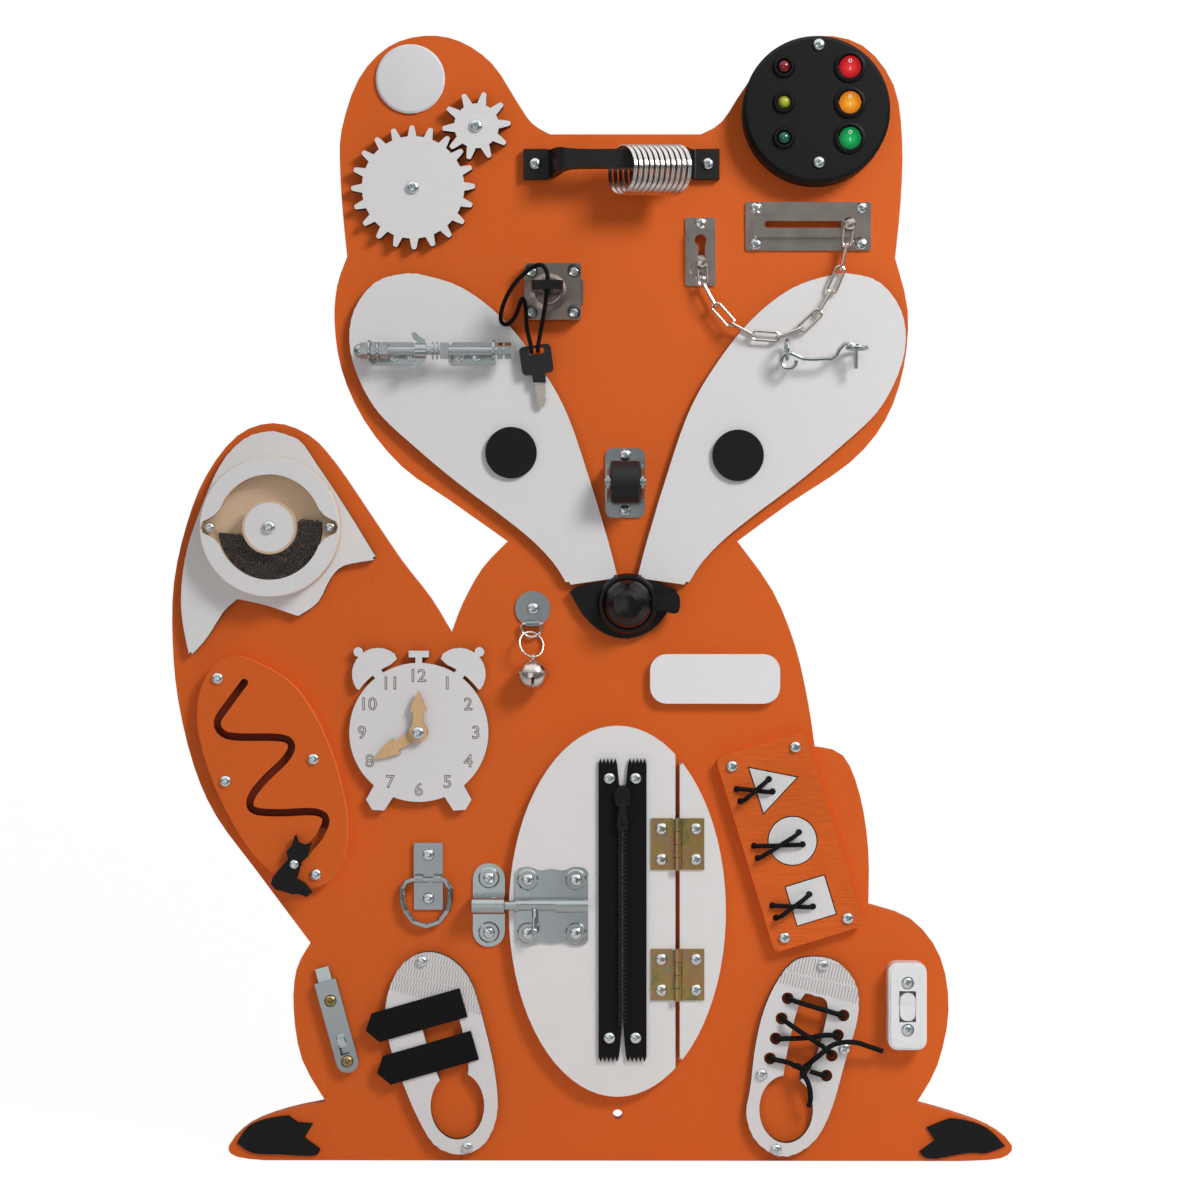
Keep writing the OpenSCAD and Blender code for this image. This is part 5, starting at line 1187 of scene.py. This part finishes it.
@dataclass
class LightBox:
    """The round box of lamps and rocker switches."""

    middle_row_mm: Pair = (139.8, 714.7)
    column_mm: float = 23.2
    row_mm: float = 25.0
    lens_mm: float = 4.8
    rocker_mm: float = 7.6
    ring_mm: Pair = (1.25, 0.85)
    ring_up_mm: float = 3.9
    bar_mm: Triple = (0.42, 0.1, 2.6)
    bar_down_mm: float = 1.2
    mark_rise_mm: float = 1.6
    ring_sides: int = 24

    def rows(self) -> list[float]:
        """The heights of the three rows, from the top."""
        return [self.middle_row_mm[1] + k * self.row_mm for k in (1, 0, -1)]

    def build(self) -> None:
        """Dresses the box, colours each lens and rocker and marks the rockers."""
        dress("light_box", "black_board")
        x, rows = self.middle_row_mm[0] - self.column_mm, self.rows()
        lenses = sorted(solids_of("lamp_lenses"), key=lambda s: -s.centre.z)
        # Each lens: name, rim colour and a lighter centre colour that is painted light.
        kinds = (("red_lens", "#3E060C", "#8E1A22"), ("yellow_lens", "#6C7410", "#B9BE32"),
                 ("green_lens", "#063222", "#1D6B4C"))
        for z, solid, (name, rim, heart) in zip(rows, lenses, kinds):
            material = LOOK.add(name, Lens(name, tint(rim), tint(heart), (x, z), self.lens_mm))
            piece(solid.mesh, name, material, Body.BOARD, ["lamp_lenses"], 50.0)
        x = self.middle_row_mm[0] + self.column_mm
        # Each rocker: body, rim colour and a lighter centre colour that is painted light.
        tones = ((Body.RED, "#B80A14", "#F0333A"), (Body.AMBER, "#E07A08", "#FFB02A"),
                 (Body.GREEN, "#06803E", "#18BE66"))
        for z, (body, rim, heart) in zip(rows, tones):
            name = body.value
            LOOK.add(name, Lens(f"{name}_lens", tint(rim), tint(heart), (x, z), self.rocker_mm))
            dress(name, name)
            self._marks(x, z, body)

    def _marks(self, x: float, z: float, body: Body) -> None:
        """Draws the O above the I on one rocker, laid on its curved face."""
        work = bmesh.new()
        far, near = self.ring_mm
        verts = []
        for k in range(self.ring_sides):
            c, s = math.cos(math.tau * k / self.ring_sides), math.sin(math.tau * k / self.ring_sides)
            section = ((far, 0.05), (far, -0.05), (near, -0.05), (near, 0.05))
            verts.append([work.verts.new((r * c, y, self.ring_up_mm + r * s)) for r, y in section])
        skin(work, [*verts, verts[0]])
        bar = bmesh.ops.create_cube(work, size=1.0)["verts"]
        bmesh.ops.scale(work, vec=self.bar_mm, verts=bar)
        bmesh.ops.translate(work, vec=(0, 0, -self.bar_down_mm), verts=bar)
        bmesh.ops.recalc_face_normals(work, faces=work.faces)
        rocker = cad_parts[body.value].data
        faces = [list(face.vertices) for face in rocker.polygons]
        tree = BVHTree.FromPolygons([vert.co.copy() for vert in rocker.vertices], faces)
        for vert in work.verts:
            place = at(x + vert.co.x, z + vert.co.z, 60.0)
            hit = tree.ray_cast(place, Vector((0, 1, 0)))[0]
            place.y = (hit.y if hit else place.y) + vert.co.y * self.mark_rise_mm * MM
            vert.co = place
        name = f"{body.value}_marks"
        piece(taken(work, name), name, LOOK["mark"], body, (), None)


@dataclass
class Numerals:
    """The clock's numbers, engraved as outlines."""

    centre_mm: Pair = (-140.7, 271.7)
    radius_mm: float = 40.3
    size_mm: float = 12.6
    line_mm: float = 0.3
    lift_mm: float = 6.0
    flatness: float = 0.3

    def build(self) -> None:
        """Dresses the clock and lays the twelve numbers round it."""
        dress_all({"clock_body": "white_level", "hour_hand": "ply", "minute_hand": "ply"})
        meshes = [self._number(n) for n in range(1, 13)]
        piece(joined(meshes, "clock_numerals"), "clock_numerals", LOOK["engraved"], Body.BOARD, (), 60.0)

    def _number(self, n: int) -> bpy.types.Mesh:
        """The outline of one number, in place."""
        curve = bpy.data.curves.new(f"number_{n}", "FONT")
        curve.body = str(n)
        curve.size = self.size_mm
        curve.align_x, curve.align_y = "CENTER", "CENTER"
        curve.fill_mode = "NONE"
        curve.bevel_depth = self.line_mm
        curve.bevel_resolution = 1
        curve.resolution_u = 4
        text = put(f"number_{n}", curve)
        bpy.context.view_layer.update()
        graph = bpy.context.evaluated_depsgraph_get()
        mesh = bpy.data.meshes.new_from_object(text.evaluated_get(graph))
        bpy.data.objects.remove(text)
        angle = math.radians(30 * n)
        x = self.centre_mm[0] + self.radius_mm * math.sin(angle)
        z = self.centre_mm[1] + self.radius_mm * math.cos(angle)
        xs = [v.co.x for v in mesh.vertices]
        ys = [v.co.y for v in mesh.vertices]
        middle = Matrix.Translation((-(min(xs) + max(xs)) / 2, -(min(ys) + max(ys)) / 2, 0))
        flat = Matrix.Diagonal((1, 1, self.flatness, 1))
        upright = Matrix.Rotation(math.pi / 2, 4, "X") @ Matrix.Scale(MM, 4)
        mesh.transform(Matrix.Translation(at(x, z, self.lift_mm)) @ upright @ flat @ middle)
        return mesh


@dataclass
class SeedDrum:
    """The turning drum with seeds behind its window."""

    inner_mm: float = 19.9
    outer_mm: float = 36.1
    seed_mm: float = 0.98
    pitch_mm: float = 1.82
    lift_mm: float = 14.55
    surface_mm: tuple[Pair, ...] = ((-40, -3), (-14, -6), (14, 0), (22, 6), (40, 3))
    bed_from_mm: float = 12.0
    bed_down_mm: float = 1.1
    screw_mm: Pair = (42.6, 17.6)
    span_mm: float = 80.0
    row_share: float = 0.866

    def build(self) -> None:
        """Dresses the drum, keeps the window's screws apart and heaps the seeds."""
        dress("drum_case", "drum")
        bed = solids_of("drum_seeds")[0].mesh
        for vert in bed.vertices:
            if vert.co.y < at(0, 0, self.bed_from_mm).y:
                vert.co.y += self.bed_down_mm * MM
        piece(bed, "seed_bed", LOOK["seeds"], Body.BOARD, ["drum_seeds"], None)
        glass = joined([solid.mesh for solid in solids_of("drum_window")], "seed_window")
        piece(glass, "seed_window", LOOK["window"], Body.DRUM, ["drum_window"], 30.0)
        head = ScrewHead(radius_mm=3.55, height_mm=2.15, slot_mm=0.45, arm_mm=1.8, depth_mm=1.1, length_mm=7.0)
        x, z = DRUM_AT_MM
        spots = [(at(x + side * self.screw_mm[0], z, self.screw_mm[1]), 1.0, AHEAD) for side in (-1, 1)]
        repeat(head.build(), spots, "screw", "window_screws", Body.DRUM, turn=math.tau, seed=5)
        shape = bmesh.new()
        bmesh.ops.create_icosphere(shape, subdivisions=1, radius=self.seed_mm * MM)
        grain, name = taken(shape, "seed"), "seed_grains"
        repeat(grain, self._spots(), "seeds", name, Body.BOARD, (), 80.0, math.tau, 3)

    def _surface(self, x: float) -> float:
        """The height of the heap at x."""
        for (x0, z0), (x1, z1) in zip(self.surface_mm, self.surface_mm[1:]):
            if x0 <= x <= x1:
                return z0 + (z1 - z0) * (x - x0) / (x1 - x0)
        return 0.0

    def _spots(self) -> list[Spot]:
        """Where the seeds of the front layer lie, a little out of line."""
        spots = []
        row = self.pitch_mm * self.row_share
        for j in range(int(self.span_mm / row)):
            z = -38 + j * self.pitch_mm * self.row_share
            for i in range(int(self.span_mm / self.pitch_mm)):
                x = -39 + (i + 0.5 * (j % 2)) * self.pitch_mm
                stray = math.sin(i * 12.9898 + j * 78.233) * 43758.5453
                stray -= math.floor(stray)
                px, pz = x + (stray - 0.5) * 0.5, z + (stray * 7 % 1 - 0.5) * 0.5
                heaped = pz < self._surface(px) - 0.6 + stray * 1.2
                if self.inner_mm + 0.4 < math.hypot(px, pz) < self.outer_mm and heaped:
                    lift = self.lift_mm - 0.25 * (stray * 3 % 1)
                    place = at(DRUM_AT_MM[0] + px, DRUM_AT_MM[1] + pz, lift)
                    spots.append((place, 0.86 + 0.14 * stray, (stray * 6, stray * 3, 0.0)))
        return spots


@dataclass
class Door:
    """The belly door with its zipper, hinges and slide bolt."""

    zip_x_mm: float = 3.4
    zip_half_mm: float = 1.75
    tooth_from_mm: float = 42.0
    tooth_to_mm: float = 216.0
    tooth_step_mm: float = 2.9
    lowest_tooth_mm: float = 66.0
    tooth_mm: Triple = (2.75, 2.15, 2.05)
    tooth_bevel_mm: float = 0.45
    lift_mm: float = 11.55
    hinges_from_mm: float = 15.0
    bolt_seats_mm: tuple[Pair, Pair, float] = ((-63.6, -29.6), (130.2, 167.8), 10.5)
    hinge_seats_mm: tuple[float, tuple[float, ...], float] = (30.8, (182.2, 203.8, 89.9, 111.5), 9.3)

    def build(self) -> None:
        """Dresses the fittings by kind and sets the zipper's teeth and the plates' screws."""
        dress_all({"belly_door": "belly", "slide_bolt": "zinc", "zipper_tape": "tape", "zipper_slider": "enamel"})
        self._fittings("frame_fittings", Body.BOARD)
        self._fittings("door_fittings", Body.DOOR)
        self._fixed_screws()
        self._teeth()

    def _fittings(self, node: str, body: Body) -> None:
        """Splits a node into brass-coloured hinges, zinc plates and screws."""
        solids = solids_of(node)
        screws = [solid for solid in solids if solid.is_screw]
        rest = [solid for solid in solids if not solid.is_screw]
        hinges = [solid.mesh for solid in rest if solid.centre.x > self.hinges_from_mm * MM]
        plates = [solid.mesh for solid in rest if solid.centre.x <= self.hinges_from_mm * MM]
        for meshes, kind, finish in ((hinges, "hinge_leaves", "yellow"), (plates, "bolt_plates", "zinc")):
            name = f"{body.value}_{kind}"
            if meshes:
                piece(joined(meshes, name), name, LOOK[finish], body, [node], 35.0)
        if screws:
            screws_for(screws, f"{body.value}_screws", body, [node], 23)

    def _fixed_screws(self) -> None:
        """Sets a head with a cross recess over each plain one of the bolt's plate and the door's hinge leaves."""
        columns, rows, lift = self.bolt_seats_mm
        seats = [(x, z, lift) for x in columns for z in rows]
        column, rows, lift = self.hinge_seats_mm
        seats += [(column, z, lift) for z in rows]
        spots = [(at(*seat), 1.03, AHEAD) for seat in seats]
        head = ScrewHead(length_mm=4.0).build()
        repeat(head, spots, "screw", "door_plate_screws", Body.DOOR, turn=math.tau, seed=31)

    def _teeth(self) -> None:
        """Sets the zipper's teeth, one row on each tape."""
        wide, tall, deep = self.tooth_mm
        work = bmesh.new()
        bmesh.ops.create_cube(work, size=1.0)
        bmesh.ops.scale(work, vec=(wide, deep, tall * 0.92), verts=work.verts)
        shape = {"offset": self.tooth_bevel_mm, "segments": 2, "affect": "EDGES", "profile": 0.6}
        bmesh.ops.bevel(work, geom=work.edges, **shape)
        bmesh.ops.scale(work, vec=(MM, MM, MM), verts=work.verts)
        spots = []
        for k in range(int((self.tooth_to_mm - self.tooth_from_mm) / self.tooth_step_mm)):
            z = self.tooth_from_mm + k * self.tooth_step_mm + 1.0
            if z < self.lowest_tooth_mm:
                continue
            for side, shift in ((-1, 0.0), (1, 0.5 * self.tooth_step_mm)):
                place = at(self.zip_x_mm + side * self.zip_half_mm, z + shift, self.lift_mm)
                spots.append((place, 1.0, AHEAD))
        repeat(taken(work, "zip_tooth"), spots, "powder", "zip_teeth", Body.DOOR, (), 50.0)


@dataclass
class Cords:
    """The key's cord, the lacing cords and the shoe lace, each a braided tube."""

    key_mm: tuple[Triple, ...] = (
        (-56.4, 541.2, 9.5), (-56.3, 541.4, 13.8), (-55.8, 545.5, 16.4), (-54.6, 552, 18), (-52.4, 562, 27),
        (-50.2, 572, 44), (-49, 582.6, 48), (-49, 591, 49), (-53, 597, 47), (-61, 595, 42), (-72, 586, 32),
        (-80, 574, 20), (-82.5, 563, 12), (-78, 560, 9.5), (-72, 566, 13), (-67, 576, 27), (-64.5, 570, 29),
        (-64, 558, 22), (-62.2, 549, 17.4), (-61.2, 544.8, 16.2), (-60.9, 541, 13.8), (-60.8, 540.7, 9.5),
    )
    lace_mm: tuple[tuple[Triple, ...], ...] = (
        ((120.3, 83.5, -4), (121, 83.4, 1.6), (128, 81, 2.6), (140, 77.4, 2.8), (152, 73.8, 2.6), (159, 71.6, 1.6),
         (159.8, 71.4, -4)),
        ((116, 69.3, -4), (116.8, 69, 1.6), (122, 65.6, 6.4), (133, 58.2, 7), (145, 50, 4), (150.6, 44.6, 1.6),
         (151.5, 43, -4)),
        ((155.8, 57.5, -4), (155, 57.5, 1.6), (146, 57.8, 2.6), (134, 56, 2.6), (120, 55.4, 2.6), (112.8, 55.1, 1.6),
         (111.8, 55.1, -4)),
        ((107.8, 41, -4), (108.6, 41, 1.6), (114, 40, 2.6), (121, 38.4, 2.8), (126, 35.6, 3)),
        ((147.7, 28.8, -4), (146.9, 29, 1.6), (142, 30.4, 2.6), (136, 32.4, 3)),
        ((134, 37, 4), (141, 44, 9), (152, 52.6, 10.4), (166, 54, 9), (178, 50, 5), (187, 46.6, 2.6)),
        ((131, 31, 5), (134.5, 24, 8), (136, 15, 7), (135, 8, 3)),
    )
    lacing_at_mm: Pair = (121.8, 194.1)
    lean: float = math.radians(17)
    plate_hole_mm: float = -25.0
    shape_holes_mm: tuple[float, ...] = (-1.3, 8.0, 2.2)
    shape_z_mm: tuple[float, ...] = (42.5, 0.5, -43.6)
    pair_mm: float = 4.5
    lacing_lift_mm: float = 8.0
    shoe_lift_mm: float = 6.0
    loose_laces: tuple[int, ...] = (5, 6)
    key_radius_mm: float = 1.5
    lacing_radius_mm: float = 1.6
    shoe_radius_mm: float = 1.8
    knot_mm: Triple = (130.6, 34.4, 5.2)
    knot_radius_mm: float = 1.75
    knot_turn_mm: float = 2.6
    knot_points: int = 72
    shortest_m: ClassVar[float] = 0.03

    def build(self) -> None:
        """Makes every cord."""
        self._cord("key_cord_braid", [at(*p) for p in self.key_mm], self.key_radius_mm, "key_cord")
        for i in range(3):
            for side in (-1, 1):
                name = f"lacing_cord_{i}_{'a' if side < 0 else 'b'}"
                self._cord(name, self._strand(i, side), self.lacing_radius_mm, "lacing_cords")
        for i, path in enumerate(self.lace_mm):
            points = [at(x, z, self.shoe_lift_mm + lift) for x, z, lift in path]
            self._cord(f"shoe_lace_{i}", points, self.shoe_radius_mm, "shoe_lace")
        self._knot()

    def _strand(self, i: int, side: int) -> list[Vector]:
        """One strand from the lacing plate across to its shape."""
        top = 2.6 if side > 0 else 7.0
        z, a, b, p = self.shape_z_mm[i], self.plate_hole_mm, self.shape_holes_mm[i], self.pair_mm
        local = [
            (a, z + side * p, -3.0), (a + 0.4, z + side * p, 1.6), (a + 4, z + side * 3.4, top),
            ((a + b) / 2, z, top + 0.4), (b - 4, z - side * 3.4, top), (b - 0.4, z - side * p, 1.6),
            (b, z - side * p, -3.0),
        ]
        c, s = math.cos(self.lean), math.sin(self.lean)
        x0, z0 = self.lacing_at_mm
        return [at(x0 + u * c - v * s, z0 + u * s + v * c, self.lacing_lift_mm + w) for u, v, w in local]

    def _cord(self, name: str, points: list[Vector], radius_mm: float, node: str) -> None:
        """Args:
            name: the piece's name.
            points: the points it passes through.
            radius_mm: its radius.
            node: the CAD node it stands for.
        """
        path = smooth_path(points, 6)
        mesh = tube(path, radius_mm * MM, 16, name)
        obj = piece(mesh, name, LOOK["cord"], Body.BOARD, [node], 60.0)
        length = path_length(path)
        if length < max(self.shortest_m, 12 * radius_mm * MM):
            log.info("cord %s is %.4f m, too short to declare", name, length)
            return
        tuple(path[0])

    def _knot(self) -> None:
        """The knot of the shoe lace: a few turns wound tight."""
        x, z, lift = self.knot_mm
        turn, points = self.knot_turn_mm, []
        for k in range(self.knot_points + 1):
            t = k / self.knot_points * math.tau
            dx, dz = math.sin(t) + 0.9 * math.sin(2 * t), math.cos(t) - 0.9 * math.cos(2 * t)
            points.append(at(x + turn * dx, z + turn * dz, self.shoe_lift_mm + lift + 1.7 * math.sin(3 * t)))
        mesh = tube(points, self.knot_radius_mm * MM, 14, "shoe_lace_knot")
        piece(mesh, "shoe_lace_knot", LOOK["cord"], Body.BOARD, ["shoe_lace"], 60.0)


@dataclass
class Strap:
    """One webbing strap of the left shoe, with its pointed free end."""

    body: Body
    end_mm: Pair
    length_mm: float = 72.0
    width_mm: float = 21.0
    thick_mm: float = 1.8
    lift_mm: float = 6.3
    slope: float = math.radians(16)
    steps: int = 36
    across: int = 8

    point_from: float = 0.9
    underlap_mm: float = 0.15

    def _spot(self, t: float, w: float, upper: bool) -> Vector:
        """The place at t along and w across the strap, from -1 to 1, on its upper or lower face."""
        far = t if t <= self.point_from else self.point_from + (t - self.point_from) * (1 - abs(w))
        far *= -self.length_mm
        v = w * self.width_mm / 2
        wave = 0.12 * math.sin(t * 9) - 0.1 * w * w
        lift = self.lift_mm + (self.thick_mm - self.underlap_mm + wave if upper else 0.0)
        c, s = math.cos(self.slope), math.sin(self.slope)
        return at(self.end_mm[0] + far * c - v * s, self.end_mm[1] + far * s + v * c, lift)

    def build(self) -> None:
        """Builds the strip, slightly crowned and wavy, and lets it replace the plain one."""
        work = bmesh.new()
        along = [i / self.steps for i in range(self.steps + 1)]
        aside = [(j / self.across - 0.5) * 2 for j in range(self.across + 1)]
        low, high = (
            [[work.verts.new(self._spot(t, w, upper)) for w in aside] for t in along] for upper in (False, True)
        )
        for i in range(self.steps):
            for j in range(self.across):
                work.faces.new([high[i][j], high[i + 1][j], high[i + 1][j + 1], high[i][j + 1]])
                work.faces.new([low[i][j + 1], low[i + 1][j + 1], low[i + 1][j], low[i][j]])
            for j in (0, self.across):
                work.faces.new([low[i][j], low[i + 1][j], high[i + 1][j], high[i][j]])
        for i in (0, self.steps):
            for j in range(self.across):
                work.faces.new([low[i][j], low[i][j + 1], high[i][j + 1], high[i][j]])
        bmesh.ops.remove_doubles(work, verts=work.verts, dist=1e-5)
        mesh = taken(work, self.body.value, outward=True)
        piece(mesh, f"{self.body.value}_webbing", LOOK["webbing"], self.body, [self.body.value], 40.0)


@dataclass
class Thread:
    """The screw thread on the long bolt, as close rings."""

    from_mm: float = -174.0
    to_mm: float = -86.0
    axis_mm: Pair = (540.0, 23.7)
    pitch_mm: float = 1.0
    radius_mm: float = 3.0
    profile_mm: tuple[Pair, ...] = ((-0.36, -0.12), (0.0, 0.085), (0.36, -0.12))
    sides: int = 24

    def build(self) -> None:
        """Sets the thread's crests along the rod."""
        work = bmesh.new()
        turns = [math.tau * k / self.sides for k in range(self.sides)]
        rings = []
        for x, rise in self.profile_mm:
            reach = self.radius_mm + rise
            rings.append([work.verts.new(Vector((x, reach * math.cos(t), reach * math.sin(t))) * MM) for t in turns])
        skin(work, rings)
        work.faces.new(list(reversed(rings[0])))
        work.faces.new(rings[-1])
        mesh = taken(work, "thread_crest", outward=True)
        count = int((self.to_mm - self.from_mm) / self.pitch_mm)
        spots = [(at(self.from_mm + k * self.pitch_mm, *self.axis_mm), 1.0, AHEAD) for k in range(count)]
        repeat(mesh, spots, "zinc", "bolt_thread", Body.BOLT, smooth=60.0)


@dataclass
class Hardware:
    """Every other fitting, which keeps its solid and gets its finish."""

    figure_screw_mm: Pair = (-227.8, 179.3)
    figure_screw_turn: float = 0.6
    finishes: dict[str, str] = field(
        default_factory=lambda: {
            "pull_handle": "powder", "key_rings": "chrome", "chain_plates": "nickel", "chain_slider": "nickel",
            "chain_links": "nickel", "lock_case": "lock", "lock_latch": "lock", "lock_key": "enamel",
            "brackets_and_eyes": "zinc", "threaded_bolt": "zinc", "wing_nut": "zinc", "gate_hook": "zinc",
            "roller_frame": "zinc", "roller_wheel": "rubber", "bell_base": "enamel", "bell_dome": "enamel",
            "bell_lever": "enamel", "maze_plate": "grooved", "maze_slider": "black", "ring_anchors": "dark_zinc",
            "jingle_ring": "nickel", "jingle_bell": "nickel", "lashing_ring": "zinc", "lacing_plate": "orange_wood",
            "triangle_shape": "white_coarse", "circle_shape": "white_coarse", "square_shape": "white_level",
            "flush_bolt_case": "dark_zinc", "flush_bolt_slider": "zinc", "switch_case": "white_plastic",
            "switch_rocker": "white_plastic", "spare_key": "key_blade",
        }
    )

    def build(self) -> None:
        """Dresses them, and sets the small screw of the maze's figure."""
        dress_all(self.finishes)
        self._maze_screw()

    def _maze_screw(self) -> None:
        """The small screw in the middle of the maze's figure."""
        low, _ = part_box("maze_slider")
        head = ScrewHead(radius_mm=3.3, height_mm=1.9, slot_mm=0.45, arm_mm=1.7, depth_mm=0.9, length_mm=3.0)
        seat = Vector((self.figure_screw_mm[0] * MM, low.y + 0.02 * MM, self.figure_screw_mm[1] * MM))
        spot: Spot = (seat, 1.0, (0.0, self.figure_screw_turn, 0.0))
        repeat(head.build(), [spot], "screw", "maze_figure_screw", Body.MAZE)


# ---- studio ------------------------------------------------------------------------------------------------


@dataclass
class Studio:
    """Camera, soft light, pale floor and backdrop."""

    mm_per_pixel: float = 0.71
    distance: float = 1.8
    centre_px: Pair = (600.0, 600.0)
    origin_px: Pair = (617.6, 1114.6)
    key_power: float = 21.0
    fill_power: float = 6.0
    world: float = 0.28
    floor_m: tuple[float, float, float, float, float] = (-0.5, 0.5, 0.6, 3.0, 4.0)

    def camera(self) -> None:
        """Sets the camera square in front of the board."""
        data = bpy.data.cameras.new("camera")
        data.sensor_width = 36.0
        half = self.centre_px[0] * self.mm_per_pixel * MM
        data.lens = data.sensor_width / 2 * self.distance / half
        camera = put("camera", data)
        x = (self.centre_px[0] - self.origin_px[0]) * self.mm_per_pixel * MM
        z = (self.origin_px[1] - self.centre_px[1]) * self.mm_per_pixel * MM
        camera.location = (x, -BOARD_T * MM - self.distance, z)
        camera.rotation_euler = (math.pi / 2, 0, 0)
        bpy.context.scene.camera = camera
        bpy.context.scene.view_settings.view_transform = "Standard"

    def _area(self, name: str, place: Vector, target: Vector, size: float, power: float) -> None:
        """Adds one square area light."""
        data = bpy.data.lights.new(name, "AREA")
        data.shape = "SQUARE"
        data.size = size
        data.energy = power
        lamp = put(name, data)
        lamp.location = place
        lamp.rotation_euler = (target - place).to_track_quat("-Z", "Y").to_euler()

    def lights(self) -> None:
        """Sets the key light at the upper right, one weak fill and an even world."""
        middle = Vector((0.0, 0.0, 0.37))
        self._area("key", Vector((1.0, -1.12, 1.42)), middle, 0.5, self.key_power)
        self._area("fill", Vector((-0.8, -2.3, 0.1)), middle, 1.5, self.fill_power)
        world = bpy.data.worlds.new("studio")
        bpy.context.scene.world = world
        world.use_nodes = True
        world.node_tree.nodes.clear()
        t = Tree(world.node_tree)
        up = t.split(t.node("ShaderNodeTexCoord", output="Generated"))[2]
        ends = {"Value": up, "From Min": 0.15, "From Max": 0.7, "To Min": 0.16, "To Max": 1.1}
        sky = t.node("ShaderNodeMapRange", None, ends)
        glossy = t.node("ShaderNodeLightPath", output="Is Glossy Ray")
        strength = t.node("ShaderNodeMix", None, {"Factor": glossy, "A": self.world, "B": sky})
        light = t.node("ShaderNodeBackground", None, {"Color": (1.0, 1.0, 1.0), "Strength": strength})
        white = t.node("ShaderNodeBackground", None, {"Color": (1.0, 1.0, 1.0), "Strength": 1.0})
        mix = t.node("ShaderNodeMixShader", None, {0: t.unlit_rays(), 1: light, 2: white})
        t.raw("ShaderNodeOutputWorld", None, {0: mix})

    def floor(self) -> None:
        """Lays a pale floor that sweeps up into the backdrop behind the board."""
        low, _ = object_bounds()
        m = Maker("pale_floor")
        base = m.node("ShaderNodeBsdfDiffuse", None, {"Color": (0.92, 0.92, 0.92)})
        glow = m.node("ShaderNodeEmission", None, {"Color": (1.0, 1.0, 1.0), "Strength": 1.02})
        mix = m.node("ShaderNodeMixShader", None, {0: m.unlit_rays() * 0.96, 1: base, 2: glow})
        m.raw("ShaderNodeOutputMaterial", None, {"Surface": mix})
        z = low.z - 0.0005
        near, back, bend, top, side = self.floor_m
        curve = [(near, z), (back, z)]
        turns = (0.3, 0.6, 0.9, 1.2, math.pi / 2)
        curve += [(back + bend * math.sin(a), z + bend - bend * math.cos(a)) for a in turns]
        curve.append((back + bend, top))
        verts = [(x, y, h) for y, h in curve for x in (-side, side)]
        faces = [(2 * i, 2 * i + 1, 2 * i + 3, 2 * i + 2) for i in range(len(curve) - 1)]
        mesh = bpy.data.meshes.new("floor")
        mesh.from_pydata(verts, [], faces)
        mesh.materials.append(m.material)
        for polygon in mesh.polygons:
            polygon.use_smooth = True
        put("floor", mesh)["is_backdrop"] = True


def main() -> None:
    """Builds the whole scene, sub-assembly by sub-assembly."""
    logging.basicConfig(level=logging.INFO, format="%(name)s: %(message)s")
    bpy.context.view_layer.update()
    studio = Studio()
    studio.camera()
    Cords().build()
    Panels().build()
    Gears().build()
    LightBox().build()
    Numerals().build()
    SeedDrum().build()
    Door().build()
    Strap(Body.UPPER_STRAP, (-109.0, 80.7)).build()
    Strap(Body.LOWER_STRAP, (-101.0, 50.6)).build()
    Thread().build()
    Hardware().build()
    studio.lights()
    studio.floor()


if __name__ == "__main__":
    main()
